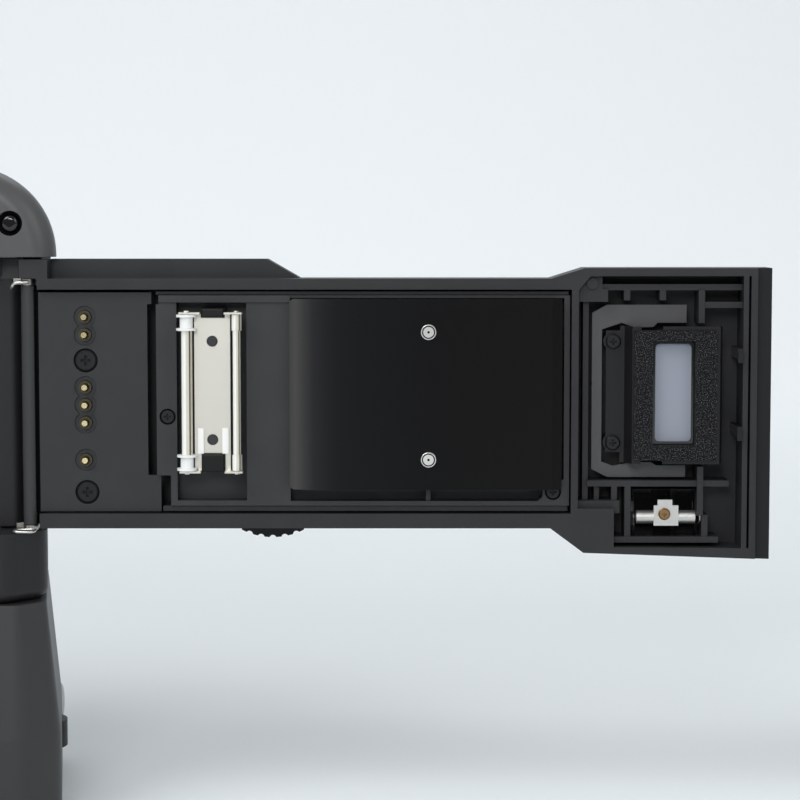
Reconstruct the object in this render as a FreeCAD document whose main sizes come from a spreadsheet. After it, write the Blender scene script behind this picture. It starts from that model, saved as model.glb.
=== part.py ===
"""A 35 mm single lens reflex press camera on its battery booster, with the film back swung open.

The camera stands on the booster's base. +Z is up, -Y is the photographer's side (the film back)
and +Y is the lens side, so the right hand is on +X. The origin is the mouth of the tripod socket,
below the optical axis. The film back is drawn open by half a turn about its hinge pin: its inner
face looks to -Y. On the back, a place is given by its distance from the hinge pin (across), its
height above the back's lower edge (up) and its depth below the face of the back's rim (deep),
which grows towards the outer skin. Lengths are in millimetres.
"""

import FreeCAD, Part  # noqa: E401

import math
import os
import re

import Sketcher

V = FreeCAD.Vector

SIZES = {
    # The planes and axes that everything is set out from.
    "hinge_x": 84.0,  # hinge pin
    "hinge_y": -17.0,
    "seat_y": -14.0,  # the body's back, on which the closed film back seats
    "rim_gap": 0.3,  # running gap between that seat and the rim
    "film_y": -12.0,  # film plane
    "flange_y": 32.0,  # lens mount's face
    "slip": 0.1,  # clearance between pieces that are set into each other
    "turn_gap": 0.06,  # radial clearance of a shaft in its bore
    "seam": 0.3,  # seam between two covers
    # Heights, from the booster's base up.
    "booster_tall": 46.2,
    "base_tall": 15.0,
    "door_low": 62.0,  # lower edge of the film back
    "film_up": 28.4,  # film centre above that edge
    "top_low": 119.0,
    "top_tall": 19.0,
    "hood_rise": 20.0,  # prism hood above the top cover
    # Plan of the body.
    "left_x": -71.5,
    "end_x": 82.0,  # right end of the body at the height of the film back
    "front_y": 15.5,
    "wall": 2.1,
    "corner": 10.0,
    # Film back: shell.
    "door_deep": 10.7,
    "door_skin": 1.8,
    "door_root": 2.2,
    "door_wide": 155.8,
    "rim_up": 52.5,
    "rim_top": 2.3,
    "rim_low": 3.1,
    "crest_up": 56.5,
    "crest_root": 4.2,
    "crest_end": 50.0,
    "crest_foot": 57.8,
    "crest_deep": 5.0,
    "waist_end": 109.6,
    "flare_start": 116.6,
    "flare_low": 5.2,
    "flare_end_low": 6.6,
    "flare_up": 54.7,
    "bay_wall": 113.9,
    "bay_rib": 1.5,
    "bay_end": 149.8,
    "bay_low": 4.2,
    "rib_deep": 2.2,
    "rib_wide": 1.3,
    "barrel_r": 1.55,
    "pin_r": 0.7,
    "web_thick": 1.5,
    # Film back: contact panel and its spring pins.
    "panel_deep": 1.6,
    "panel_thick": 1.2,
    "panel_end": 25.0,
    "panel_top": 49.6,
    "contact_x": 11.9,
    "contact_r": 0.75,
    "contact_out": 0.4,
    "contact_travel": 0.8,
    "bush_r": 1.35,
    "bush_tall": 0.5,
    "well_r": 2.3,
    "well_deep": 0.3,
    "big_screw_r": 2.45,
    "small_screw_r": 1.6,
    "post_r": 2.0,
    # Film back: inner panel.
    "tray_left": 26.9,
    "tray_deep": 0.8,
    "tray_thick": 5.4,
    "tray_low": 4.7,
    "tray_top": 49.0,
    "slot_left": 31.2,
    "slot_right": 45.8,
    "slot_low": 5.8,
    "slot_top": 47.5,
    "slot_deep": 5.0,
    "plate_bay_left": 55.0,
    "plate_bay_right": 112.4,
    "plate_bay_low": 5.7,
    "plate_bay_top": 48.4,
    "plate_bay_deep": 4.8,
    # Pressure plate.
    "plate_left": 54.9,
    "plate_right": 111.8,
    "rivet_shift": 0.6,  # rivets' distance from the plate's middle
    "plate_low": 8.4,
    "plate_top": 48.3,
    "plate_out": 2.1,
    "plate_thick": 1.5,
    "plate_travel": 0.6,
    "rivet_r": 1.6,
    "rivet_low": 14.7,
    "rivet_high": 41.4,
    "leaf_thick": 0.3,
    "leaf_wide": 9.0,
    "leaf_reach": 21.0,
    # Film guide rollers.
    "guide_left": 35.1,
    "guide_right": 42.6,
    "guide_low": 12.1,
    "guide_top": 45.6,
    "guide_out": 1.6,
    "guide_thick": 0.5,
    "guide_travel": 0.8,
    "ear_thick": 0.4,
    "guide_hole_r": 1.15,
    "flanged_x": 33.6,
    "plain_x": 44.0,
    "roller_out": 3.0,
    "flange_r": 2.1,
    "flange_thick": 0.5,
    "drum_r": 1.35,
    "flanged_r": 1.2,
    "plain_drum_r": 1.1,
    "plain_r": 0.85,
    "drum_tall": 3.3,
    "stub_r": 0.5,
    # Cartridge side of the film back.
    "guard_deep": 4.2,
    "guard_thick": 0.8,
    "spring_steel": 0.5,
    "pad_left": 126.6,
    "pad_right": 145.6,
    "pad_low": 13.6,
    "pad_top": 42.5,
    "pad_out": 0.2,
    "foam_thick": 1.2,
    "tunnel_left": 130.9,
    "tunnel_right": 139.6,
    "tunnel_low": 17.8,
    "tunnel_top": 39.4,
    "tunnel_wall": 0.4,
    "tunnel_deep": 0.6,
    "glass_thick": 1.0,
    "shelf_up": 49.3,  # shallow corner shelf over the cartridge bay
    "shelf_deep": 1.6,
    "catch_x": 148.4,
    # Control dial on the outer skin.
    "dial_x": 50.6,
    "dial_up": 11.1,
    "dial_r": 14.6,
    "dial_thick": 3.4,
    "dial_base_r": 10.5,
    "dial_base_thick": 0.9,
    "dial_bore_r": 4.2,
    "dial_teeth": 36,
    "scallop_r": 0.75,
    # Film chambers in the chassis.
    "cartridge_x": -52.5,
    "cartridge_y": -1.0,
    "cartridge_r": 13.2,
    "spool_x": 57.5,
    "spool_y": -1.2,
    "spool_bay_r": 12.0,
    "spool_r": 7.5,
    "gate_wide": 36.0,
    "gate_tall": 24.0,
    "box_margin": 2.4,  # mirror box's half width beyond the film gate's
    "rail_tall": 1.2,
    "rail_rise": 1.0,
    # Lens mount.
    "throat_r": 27.0,
    "mount_r": 32.5,
    "mount_thick": 2.0,
    "boss_r": 33.5,
    # Top.
    "jamb_x": 76.6,  # solid rear right corner of the casing, which carries the hinge
    "jamb_y": -7.7,
    "jamb_r": 2.6,
    "tab_x": 80.4,  # where the hinge's tabs start on the jamb
    "tab_y": -8.0,
    "shoulder_lip": 0.5,  # straight edge left under the shoulder's rounding
    "shoulder_x": 90.6,
    "lean": 0.153,  # how much the right end draws in per millimetre towards the lens
    "rear_round": 5.0,
    "top_back": -21.0,
    "hood_half": 33.0,
    "hood_top_half": 16.0,
    "hood_front": 27.0,
    "hood_back": -20.5,
    # Base and booster.
    "base_end": 88.2,
    "base_back": -24.0,
    "base_corner": 13.0,
    "flare": 2.6,  # how far the booster's foot stands out beyond the base cover
    "flare_angle": 5.5,
    "waist_tall": 18.0,
    "booster_floor": 7.5,
    "socket_r": 3.175,
    "socket_bush_r": 6.5,
    "cell_r": 7.1,
    "cell_long": 58.0,
    # Grip.
    "grip_end": 89.4,
    "grip_back": -8.0,
    "grip_front": 45.0,
    "grip_left": 43.5,
    "grip_top": 128.0,
    "rubber_thick": 1.2,
    # Buttons.
    "release_r": 4.6,
    "button_r": 1.85,
    "button_ring_r": 2.6,
    "button_travel": 0.8,
}

# Sizes that follow from others.
DERIVED = {
    "hood_tall": "top_low + top_tall + hood_rise",
    "plate_mid": "(plate_left + plate_right) / 2 + rivet_shift",
    "box_half": "gate_wide / 2 + box_margin",
    "shoulder_r": "top_tall - shoulder_lip",
}

doc = FreeCAD.newDocument("PressCamera")
sheet = doc.addObject("Spreadsheet::Sheet", "Sizes")
for row, (alias, value) in enumerate(SIZES.items(), start=1):
    sheet.set(f"A{row}", alias)
    sheet.set(f"B{row}", str(value))
    sheet.setAlias(f"B{row}", alias)
doc.recompute()

NODES = {}


# ---- tools: every size and place is a text over the sheet's aliases, and is bound to it ----


def tie(text):
    """The text as a FreeCAD expression, with each alias pointing at the sheet."""

    def swap(found):
        word = found.group()
        if word in DERIVED:
            return f"({tie(DERIVED[word])})"
        return f"Sizes.{word}" if word in SIZES else word

    return re.sub(r"[a-z][a-z_0-9]*", swap, str(text))


def num(text):
    """The text's value now."""
    return float(sheet.evalExpression(tie(text)))


def bind(thing, prop, text):
    thing.setExpression(prop, tie(text))


def across(text):
    return f"(hinge_x + ({text}))"


def up(text):
    return f"(door_low + ({text}))"


def deep(text):
    return f"(2 * hinge_y - seat_y + rim_gap + ({text}))"


MID_Z = "(door_low + film_up)"
DOOR_FLOOR = "door_deep - door_skin"
AXLES = {"x": (V(0, 1, 0), 90), "y": (V(1, 0, 0), -90), "z": (V(0, 0, 1), 0)}


def place(thing, at, axis="z"):
    turn, angle = AXLES[axis]
    thing.Placement = FreeCAD.Placement(V(), FreeCAD.Rotation(turn, angle))
    for letter, text in zip("xyz", at):
        bind(thing, f"Placement.Base.{letter}", text)


def slab(x, y, z):
    """A box between the two limits on each axis."""
    made = doc.addObject("Part::Box", "Slab")
    for prop, (low, high) in zip(("Length", "Width", "Height"), (x, y, z)):
        bind(made, prop, f"({high}) - ({low})")
    place(made, (x[0], y[0], z[0]))
    return made


def middle(axis, centre, low):
    """The point at low on the axis whose other two coordinates are the centre's."""
    at = list(centre)
    at.insert("xyz".index(axis), low)
    return at


def rod(axis, centre, radius, low, high):
    made = doc.addObject("Part::Cylinder", "Rod")
    bind(made, "Radius", radius)
    bind(made, "Height", f"({high}) - ({low})")
    place(made, middle(axis, centre, low), axis)
    return made


def cone(axis, centre, low_r, high_r, low, high):
    made = doc.addObject("Part::Cone", "Cone")
    bind(made, "Radius1", low_r)
    bind(made, "Radius2", high_r)
    bind(made, "Height", f"({high}) - ({low})")
    place(made, middle(axis, centre, low), axis)
    return made


def ball(centre, radius):
    made = doc.addObject("Part::Sphere", "Ball")
    bind(made, "Radius", radius)
    place(made, centre)
    return made


def ring(axis, centre, radius, bore, low, high):
    return cut(
        rod(axis, centre, radius, low, high),
        rod(axis, centre, bore, f"({low}) - 1", f"({high}) + 1"),
    )


def fuse(*parts):
    made = doc.addObject("Part::MultiFuse", "Fuse")
    made.Shapes = list(parts)
    return made


def group(*parts):
    """Separate solids that share one node."""
    made = doc.addObject("Part::Compound", "Group")
    made.Links = list(parts)
    return made


def cut(base, *tools):
    made = doc.addObject("Part::Cut", "Cut")
    made.Base = base
    made.Tool = tools[0] if len(tools) == 1 else fuse(*tools)
    return made


def common(first, second):
    made = doc.addObject("Part::MultiCommon", "Common")
    made.Shapes = [first, second]
    return made


def picked(base, pick):
    """The numbers of the edges that pick wants. It gets an edge's centre and its direction's letter."""
    doc.recompute()
    found = []
    for number, edge in enumerate(base.Shape.Edges, start=1):
        letter = ""
        if edge.Curve.TypeId == "Part::GeomLine":
            run = edge.Curve.Direction
            for name, size in zip("xyz", (run.x, run.y, run.z)):
                if abs(size) > 0.999:
                    letter = name
        if pick(edge.CenterOfMass, letter):
            found.append(number)
    return found


def rounded(base, radius, pick):
    made = doc.addObject("Part::Fillet", "Rounded")
    size = num(radius)
    made.Base = base
    made.Edges = [(n, size, size) for n in picked(base, pick)]
    return made


def bevelled(base, size, pick):
    made = doc.addObject("Part::Chamfer", "Bevelled")
    width = num(size)
    made.Base = base
    made.Edges = [(n, width, width) for n in picked(base, pick)]
    return made


PLANES = {
    "xy": ("XY_Plane", FreeCAD.Rotation(), V(0, 0, 1), "z", 1),
    "xz": ("XZ_Plane", FreeCAD.Rotation(V(1, 0, 0), 90), V(0, 1, 0), "y", -1),
    "yz": ("YZ_Plane", FreeCAD.Rotation(V(1, 1, 1), 120), V(1, 0, 0), "x", 1),
}


def draw(sketch, outline):
    """Draws a closed outline of straight lines whose corners are bound to the sheet."""
    corners = [V(num(a), num(b), 0) for a, b in outline]
    count = len(corners)
    lines = [Part.LineSegment(corners[i], corners[(i + 1) % count]) for i in range(count)]
    sketch.addGeometry(lines, False)
    sketch.addConstraint(
        [Sketcher.Constraint("Coincident", i, 2, (i + 1) % count, 1) for i in range(count)]
    )
    for i, (first, second) in enumerate(outline):
        for kind, text in (("DistanceX", first), ("DistanceY", second)):
            made = sketch.addConstraint(Sketcher.Constraint(kind, -1, 1, i, 1, num(text)))
            sketch.renameConstraint(made, f"{kind}{i}")
            bind(sketch, f"Constraints.{kind}{i}", text)


def draw_circles(sketch, circles):
    for i, (first, second, radius) in enumerate(circles):
        centre = V(num(first), num(second), 0)
        sketch.addGeometry(Part.Circle(centre, V(0, 0, 1), num(radius)), False)
        terms = (
            ("Radius", (i,), radius),
            ("DistanceX", (-1, 1, i, 3), first),
            ("DistanceY", (-1, 1, i, 3), second),
        )
        for kind, where, text in terms:
            made = sketch.addConstraint(Sketcher.Constraint(kind, *where, num(text)))
            sketch.renameConstraint(made, f"{kind}{i}")
            bind(sketch, f"Constraints.{kind}{i}", text)


def plate(plane, outline, low, high):
    """A straight-sided outline in a plane, extruded between two limits."""
    _, turn, way, letter, _ = PLANES[plane]
    sketch = doc.addObject("Sketcher::SketchObject", "Outline")
    draw(sketch, outline)
    sketch.Placement = FreeCAD.Placement(V(), turn)
    bind(sketch, f"Placement.Base.{letter}", low)
    made = doc.addObject("Part::Extrusion", "Plate")
    made.Base = sketch
    made.DirMode = "Custom"
    made.Dir = way
    made.Solid = True
    bind(made, "LengthFwd", f"({high}) - ({low})")
    return made


def moulding():
    return doc.addObject("PartDesign::Body", "Moulding")


def feature(kind, body, plane, shape, low, high):
    """A pad or pocket between two limits on the axis normal to the plane."""
    role, _, _, _, way = PLANES[plane]
    sketch = body.newObject("Sketcher::SketchObject", "Profile")
    origin = [f for f in body.Origin.OriginFeatures if f.Role == role]
    sketch.AttachmentSupport = [(origin[0], "")]
    sketch.MapMode = "FlatFace"
    if len(shape[0]) == 3:
        draw_circles(sketch, shape)
    else:
        draw(sketch, shape)
    # A pad grows along the plane's normal and a pocket cuts against it.
    from_low = (way == 1) == (kind == "Pad")
    start = low if from_low else high
    sign = "" if way == 1 else "-"
    bind(sketch, "AttachmentOffset.Base.z", f"{sign}({start})")
    made = body.newObject(f"PartDesign::{kind}", kind)
    made.Profile = sketch
    bind(made, "Length", f"({high}) - ({low})")
    body.Tip = made
    return made


def pad(body, plane, shape, low, high):
    return feature("Pad", body, plane, shape, low, high)


def pocket(body, plane, shape, low, high):
    return feature("Pocket", body, plane, shape, low, high)


def oblong(x, z):
    """The four corners of a rectangle."""
    return [(x[0], z[0]), (x[1], z[0]), (x[1], z[1]), (x[0], z[1])]


def node(name, thing):
    thing.Label = name
    NODES[name] = thing
    return thing


def on_door(points):
    return [(across(a), up(b)) for a, b in points]


def door_slab(x, z, y):
    return slab(
        (across(x[0]), across(x[1])), (deep(y[0]), deep(y[1])), (up(z[0]), up(z[1]))
    )


def door_rod(x, z, radius, low, high):
    """A rod square to the film back."""
    return rod("y", (across(x), up(z)), radius, deep(low), deep(high))


# ---- film back: shell, panels and what they hold ----

CONTACTS = (44.45, 40.7, 29.7, 25.95, 22.2, 14.35)
PANEL_SCREWS = (("12.0", "35.3"), ("12.1", "7.5"))
TRAY_SCREWS = (("29.2", "23.5"), ("110.2", "7.6"))
PAD_SCREWS = (("122.9", "39.2"), ("122.9", "17.8"))
SPRING_SCREW = ("133.8", "2.8")
CATCHES = (20.6, 36.9)


def make_door_shell():
    body = moulding()
    outline = [
        ("door_root", "0"),
        ("waist_end", "0"),
        ("flare_start", "-flare_low"),
        ("door_wide", "-flare_end_low"),
        ("door_wide", "flare_up"),
        ("flare_start", "flare_up"),
        ("waist_end", "rim_up"),
        ("door_root", "rim_up"),
    ]
    pad(body, "xz", on_door(outline), deep("0"), deep("door_deep"))
    crest = [
        ("crest_root", "rim_up - 0.5"),
        ("crest_foot", "rim_up - 0.5"),
        ("crest_end", "crest_up"),
        ("crest_root", "crest_up"),
    ]
    pad(body, "xz", on_door(crest), deep("crest_deep"), deep("door_deep"))
    knuckle = oblong(("-barrel_r", "crest_root + 0.2"), ("rim_up", "crest_up"))
    pad(body, "xz", on_door(knuckle), deep("0"), deep("crest_deep + 2"))
    web = oblong(("0.3", "door_root + 0.3"), ("0.6", "rim_up - 1.5"))
    web_low = "panel_deep + panel_thick + 0.1"
    pad(body, "xz", on_door(web), deep(web_low), deep(f"{web_low} + web_thick"))
    barrel = [("hinge_x", "hinge_y", "barrel_r")]
    pad(body, "xy", barrel, up("0.6"), up("rim_up - 1.5"))
    bay = oblong(
        ("door_root + door_skin", "bay_wall"), ("rim_low", "rim_up - rim_top")
    )
    pocket(body, "xz", on_door(bay), deep("0"), deep(DOOR_FLOOR))
    lip = oblong(("door_root - 1", "door_root + door_skin + 1"), ("rim_low", "rim_up - rim_top"))
    pocket(body, "xz", on_door(lip), deep("-1"), deep("panel_deep + panel_thick"))
    left = "bay_wall + bay_rib"
    cartridge = [
        (left, "bay_low"),
        ("123", "bay_low"),
        ("123", "-bay_low + 0.2"),
        ("bay_end", "-bay_low"),
        ("bay_end", "flare_up - rib_wide - 0.4"),
        ("120.4", "flare_up - rib_wide - 0.4"),
        ("120.4", "shelf_up"),
        (left, "shelf_up"),
    ]
    pocket(body, "xz", on_door(cartridge), deep("0"), deep(DOOR_FLOOR))
    shelf = [
        (left, "shelf_up - 0.1"),
        ("120.5", "shelf_up - 0.1"),
        ("120.5", "flare_up - rib_wide - 0.4"),
        (f"{left} + 2.5", "flare_up - rib_wide - 0.4"),
        (left, "rim_up - rim_top"),
    ]
    pocket(body, "xz", on_door(shelf), deep("0"), deep("shelf_deep"))
    boss = [(across("118.3"), up("51.4"), "1.2")]
    pad(body, "xz", boss, deep("shelf_deep - 0.5"), deep("shelf_deep + 0.5"))
    groove = oblong(("bay_end + 1.1", "bay_end + 1.6"), ("-bay_low", "flare_up - 1.7"))
    pocket(body, "xz", on_door(groove), deep("0"), deep("3"))
    step = oblong(("bay_end + 3.0", "door_wide + 1"), ("-flare_end_low - 1", "flare_up + 1"))
    pocket(body, "xz", on_door(step), deep("-1"), deep("0.8"))
    ribs = (
        (("tray_left + 1.2", "bay_wall - 0.6"), ("rim_low + 0.4", "tray_low - slip"), "tray_deep + 0.5"),
        (("tray_left", "bay_wall - 0.6"), ("tray_top + slip", "rim_up - rim_top - 0.4"), "tray_deep + 0.5"),
        (("120.4", "bay_end"), ("50.0", "50.0 + rib_wide"), "rib_deep"),
        (("125", "125 + rib_wide"), ("47.9", "50.1"), "rib_deep"),
        (("132.5", "132.5 + rib_wide"), ("47.9", "50.1"), "rib_deep"),
        (("140.6", "140.6 + rib_wide"), ("43.1", "50.1"), "rib_deep - 0.7"),
        (("141.5", "bay_end"), ("46.3", "46.3 + rib_wide"), "rib_deep - 0.4"),
        (("bay_wall + 1", "121.6"), ("47.6", "50.3"), "rib_deep - 0.6"),
        (("116.5", "117.7"), ("bay_low", "47.7"), "rib_deep + 1"),
        (("bay_wall + 1", "124.3"), ("3.0", "5.7"), "rib_deep - 0.6"),
        (("119.0", "120.1"), ("5.6", "9.0"), "rib_deep + 1"),
        (("122.6", "123.8"), ("5.6", "9.0"), "rib_deep"),
        (("117.5", "147.4"), ("8.6", "8.6 + rib_wide"), "rib_deep"),
        (("140.6", "140.6 + rib_wide"), ("2.5", "12.9"), "rib_deep - 0.7"),
        (("141.7", "141.7 + rib_wide"), ("-2.6", "2.6"), "rib_deep"),
        (("122.5", "145.2"), ("-3.3", "-3.3 + rib_wide"), "rib_deep - 0.4"),
        (("125.4", "125.4 + rib_wide"), ("-2.5", "9"), "rib_deep"),
    )
    for x, z, top in ribs:
        pad(body, "xz", on_door(oblong(x, z)), deep(top), deep("door_deep - 0.5"))
    # The tunnel round the film window, open through the skin.
    tunnel = oblong(("tunnel_left", "tunnel_right"), ("tunnel_low", "tunnel_top"))
    pad(body, "xz", on_door(tunnel), deep("tunnel_deep"), deep("door_deep - 0.5"))
    opening = oblong(
        ("tunnel_left + tunnel_wall", "tunnel_right - tunnel_wall"),
        ("tunnel_low + tunnel_wall", "tunnel_top - tunnel_wall"),
    )
    pocket(body, "xz", on_door(opening), deep("0"), deep("door_deep + 1"))
    for x, z in (("119.5", "30"), ("122.6", "45.2"), ("137", "45.2"), ("137", "11.6")):
        foot = [(across(x), up(z), "0.9")]
        pad(body, "xz", foot, deep("guard_deep + guard_thick"), deep("door_deep - 0.5"))
    # Posts that the panels, the cartridge spring and the end spring are screwed to.
    posts = (
        (PANEL_SCREWS, "panel_deep + panel_thick"),
        (TRAY_SCREWS, "tray_deep + tray_thick"),
        (PAD_SCREWS, "guard_deep"),
        ((SPRING_SCREW,), "rib_deep + 0.4"),
    )
    for places, top in posts:
        circles = [(across(x), up(z), "post_r") for x, z in places]
        pad(body, "xz", circles, deep(top), deep("door_deep - 0.5"))
    dial = (across("dial_x"), up("dial_up"))
    seat = "door_deep + dial_base_thick"
    pad(body, "xz", [(*dial, "dial_base_r")], deep("door_deep - 0.5"), deep(seat))
    pad(body, "xz", [(*dial, "dial_bore_r")], deep("door_deep"), deep(f"{seat} + dial_thick"))
    bore = [("hinge_x", "hinge_y", "pin_r + turn_gap")]
    pocket(body, "xy", bore, up("0"), up("crest_up + 1"))
    node("door_shell", body)


def make_contact_panel():
    body = moulding()
    outline = [
        ("door_root", "rim_low + 0.3"),
        ("panel_end + 2.7", "rim_low + 0.3"),
        ("panel_end + 2.7", "11.1"),
        ("panel_end", "11.1"),
        ("panel_end", "47.1"),
        ("panel_end + 0.9", "47.1"),
        ("panel_end + 0.9", "panel_top"),
        ("door_root", "panel_top"),
    ]
    pad(body, "xz", on_door(outline), deep("panel_deep"), deep("panel_deep + panel_thick"))
    for z in CONTACTS:
        well = [(across("contact_x"), up(z), "well_r")]
        pocket(body, "xz", well, deep("panel_deep"), deep("panel_deep + well_deep"))
    holes = [(across("contact_x"), up(z), "bush_r + slip / 2") for z in CONTACTS]
    pocket(body, "xz", holes, deep("panel_deep - 1"), deep("panel_deep + panel_thick + 1"))
    heads = [(across(x), up(z), "big_screw_r + slip") for x, z in PANEL_SCREWS]
    pocket(body, "xz", heads, deep("panel_deep - 1"), deep("panel_deep + panel_thick - 0.4"))
    stems = [(across(x), up(z), "big_screw_r * 0.45 + slip") for x, z in PANEL_SCREWS]
    pocket(body, "xz", stems, deep("panel_deep - 1"), deep("panel_deep + panel_thick + 1"))
    node("contact_panel", body)


def make_contacts():
    bushes = []
    pins = []
    for z in CONTACTS:
        centre = (across("contact_x"), up(z))
        low = deep("panel_deep - bush_tall")
        bushes.append(
            ring("y", centre, "bush_r", "contact_r + turn_gap", low, deep("panel_deep + 3"))
        )
        tip = deep("-contact_out + contact_r * 0.6")
        stem = rod("y", centre, "contact_r", tip, deep("panel_deep + 4.2 - contact_travel"))
        head = common(
            ball((centre[0], tip, centre[1]), "contact_r"),
            rod("y", centre, "contact_r + 1", deep("-contact_out"), f"{tip} + 0.3"),
        )
        pins.append(fuse(stem, head))
    node("pin_bushes", group(*bushes))
    node("contact_pins", group(*pins))


def make_inner_panel():
    body = moulding()
    outline = [
        ("tray_left + 2.9", "tray_low"),
        ("bay_wall - 0.3", "tray_low"),
        ("bay_wall - 0.3", "tray_top"),
        ("tray_left + 0.6", "tray_top"),
        ("tray_left + 0.6", "47.1"),
        ("tray_left", "47.1"),
        ("tray_left", "11.1"),
        ("tray_left + 2.9", "11.1"),
    ]
    pad(body, "xz", on_door(outline), deep("tray_deep"), deep("tray_deep + tray_thick"))
    lip = oblong(("tray_left + 0.6", "plate_bay_left"), ("slot_top", "tray_top"))
    pad(body, "xz", on_door(lip), deep("tray_deep - 0.4"), deep("tray_deep + 1"))
    slot = oblong(("slot_left", "slot_right"), ("slot_low", "slot_top"))
    pocket(body, "xz", on_door(slot), deep("tray_deep - 2"), deep("slot_deep"))
    bay = [
        ("plate_bay_left", "plate_bay_low"),
        ("107", "plate_bay_low"),
        ("108", "plate_bay_low + 0.9"),
        ("108", "plate_bay_low + 4.5"),
        ("plate_bay_right", "plate_bay_low + 4.5"),
        ("plate_bay_right", "plate_bay_top"),
        ("plate_bay_left", "plate_bay_top"),
    ]
    pocket(body, "xz", on_door(bay), deep("tray_deep - 2"), deep("plate_bay_deep"))
    posts = [
        (across("(guide_left + guide_right) / 2"), up(z), "guide_hole_r - slip")
        for z in ("18.9", "39.5")
    ]
    pad(body, "xz", posts, deep("-guide_out - 0.2"), deep("slot_deep + 0.5"))
    tab = oblong(("plate_mid - 0.5", "plate_mid + 0.5"), ("plate_bay_low - 0.1", "plate_low - 0.3"))
    pad(body, "xz", on_door(tab), deep("tray_deep + 0.6"), deep("plate_bay_deep + 0.4"))
    heads = [(across(x), up(z), "small_screw_r + slip") for x, z in TRAY_SCREWS]
    pocket(body, "xz", heads, deep("tray_deep - 1"), deep("tray_deep + 1"))
    node("inner_panel", body)


def cross_screw(x, z, radius, top, head, foot):
    """A countersunk cross-head screw square to the film back: head from top, stem down to foot."""
    centre = (across(x), up(z))
    size = f"({radius})"
    crown = rod("y", centre, size, deep(top), deep(f"{top} + {head}"))
    crown = bevelled(crown, f"{size} * 0.2", lambda c, t: c.y < num(deep(top)) + 0.01)
    stem = rod("y", centre, f"{size} * 0.45", deep(f"{top} + {head} / 2"), deep(foot))
    arms = [
        slab(
            (f"{centre[0]} - {size} * {wide}", f"{centre[0]} + {size} * {wide}"),
            (deep(f"{top} - 1"), deep(f"{top} + {head} * 0.7")),
            (f"{centre[1]} - {size} * {tall}", f"{centre[1]} + {size} * {tall}"),
        )
        for wide, tall in ((0.42, 0.12), (0.12, 0.42))
    ]
    return cut(fuse(crown, stem), *arms)


def make_door_screws():
    screws = [
        cross_screw(x, z, "big_screw_r", "panel_deep + 0.1", "0.7", "panel_deep + panel_thick")
        for x, z in PANEL_SCREWS
    ]
    screws += [
        cross_screw(x, z, "small_screw_r", "tray_deep + 0.1", "0.9", "tray_deep + 1")
        for x, z in TRAY_SCREWS
    ]
    screws += [
        cross_screw(
            x, z, "small_screw_r", "guard_deep - spring_steel - 1", "1", "guard_deep - spring_steel"
        )
        for x, z in PAD_SCREWS
    ]
    screws.append(
        cross_screw(*SPRING_SCREW, "1.25", "rib_deep - 0.8", "0.7", "rib_deep - 0.1")
    )
    node("door_screws", group(*screws))


# ---- film back: pressure plate and film guide ----


def make_pressure_plate():
    low = "-plate_out + plate_thick"
    profile = [
        ("plate_left", low),
        ("plate_left", "-plate_out + plate_thick * 0.65"),
        ("plate_left + 3.7", "-plate_out"),
        ("plate_right - 2", "-plate_out"),
        ("plate_right", "-plate_out + plate_thick * 0.35"),
        ("plate_right", low),
    ]
    outline = [(across(a), deep(b)) for a, b in profile]
    blank = plate("xy", outline, up("plate_low"), up("plate_top"))
    corners = rounded(
        blank,
        "1",
        lambda c, t: t == "y" and c.x < num(across("plate_left")) + 0.5,
    )
    holes = [
        door_rod("plate_mid", z, "rivet_r + turn_gap", "-plate_out - 1", "1")
        for z in ("rivet_low", "rivet_high")
    ]
    node("pressure_plate", cut(corners, *holes))
    rivets = []
    for z in ("rivet_low", "rivet_high"):
        head = door_rod("plate_mid", z, "rivet_r", "-plate_out - 0.15", f"{low} + leaf_thick")
        head = rounded(head, "0.1", lambda c, t: c.y < num(deep("-plate_out")))
        groove = cut(
            door_rod("plate_mid", z, "rivet_r * 0.86", "-plate_out - 1", "-plate_out + 0.25"),
            door_rod("plate_mid", z, "rivet_r * 0.7", "-plate_out - 2", "-plate_out + 1"),
        )
        dot = door_rod("plate_mid", z, "rivet_r * 0.16", "-plate_out - 1", "-plate_out + 0.25")
        rivets.append(cut(head, groove, dot))
    node("plate_rivets", group(*rivets))
    # A bowed leaf under the plate, whose feet stop short of the bay's floor by the plate's travel.
    top = f"({low})"
    foot = "(plate_bay_deep - leaf_thick - plate_travel - slip)"
    bow = [
        ("plate_mid - leaf_reach", foot),
        ("plate_mid - leaf_reach + 4", foot),
        ("plate_mid - 8", top),
        ("plate_mid + 8", top),
        ("plate_mid + leaf_reach - 4", foot),
        ("plate_mid + leaf_reach", foot),
    ]
    under = [(a, f"{b} + leaf_thick") for a, b in reversed(bow)]
    outline = [(across(a), deep(b)) for a, b in bow + under]
    half = "leaf_wide / 2"
    leaves = []
    for z in ("rivet_low", "rivet_high"):
        leaf = plate("xy", outline, up(f"{z} - {half}"), up(f"{z} + {half}"))
        leaves.append(cut(leaf, door_rod("plate_mid", z, "rivet_r + turn_gap", "-2", "2")))
    node("plate_spring", group(*leaves))


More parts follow.
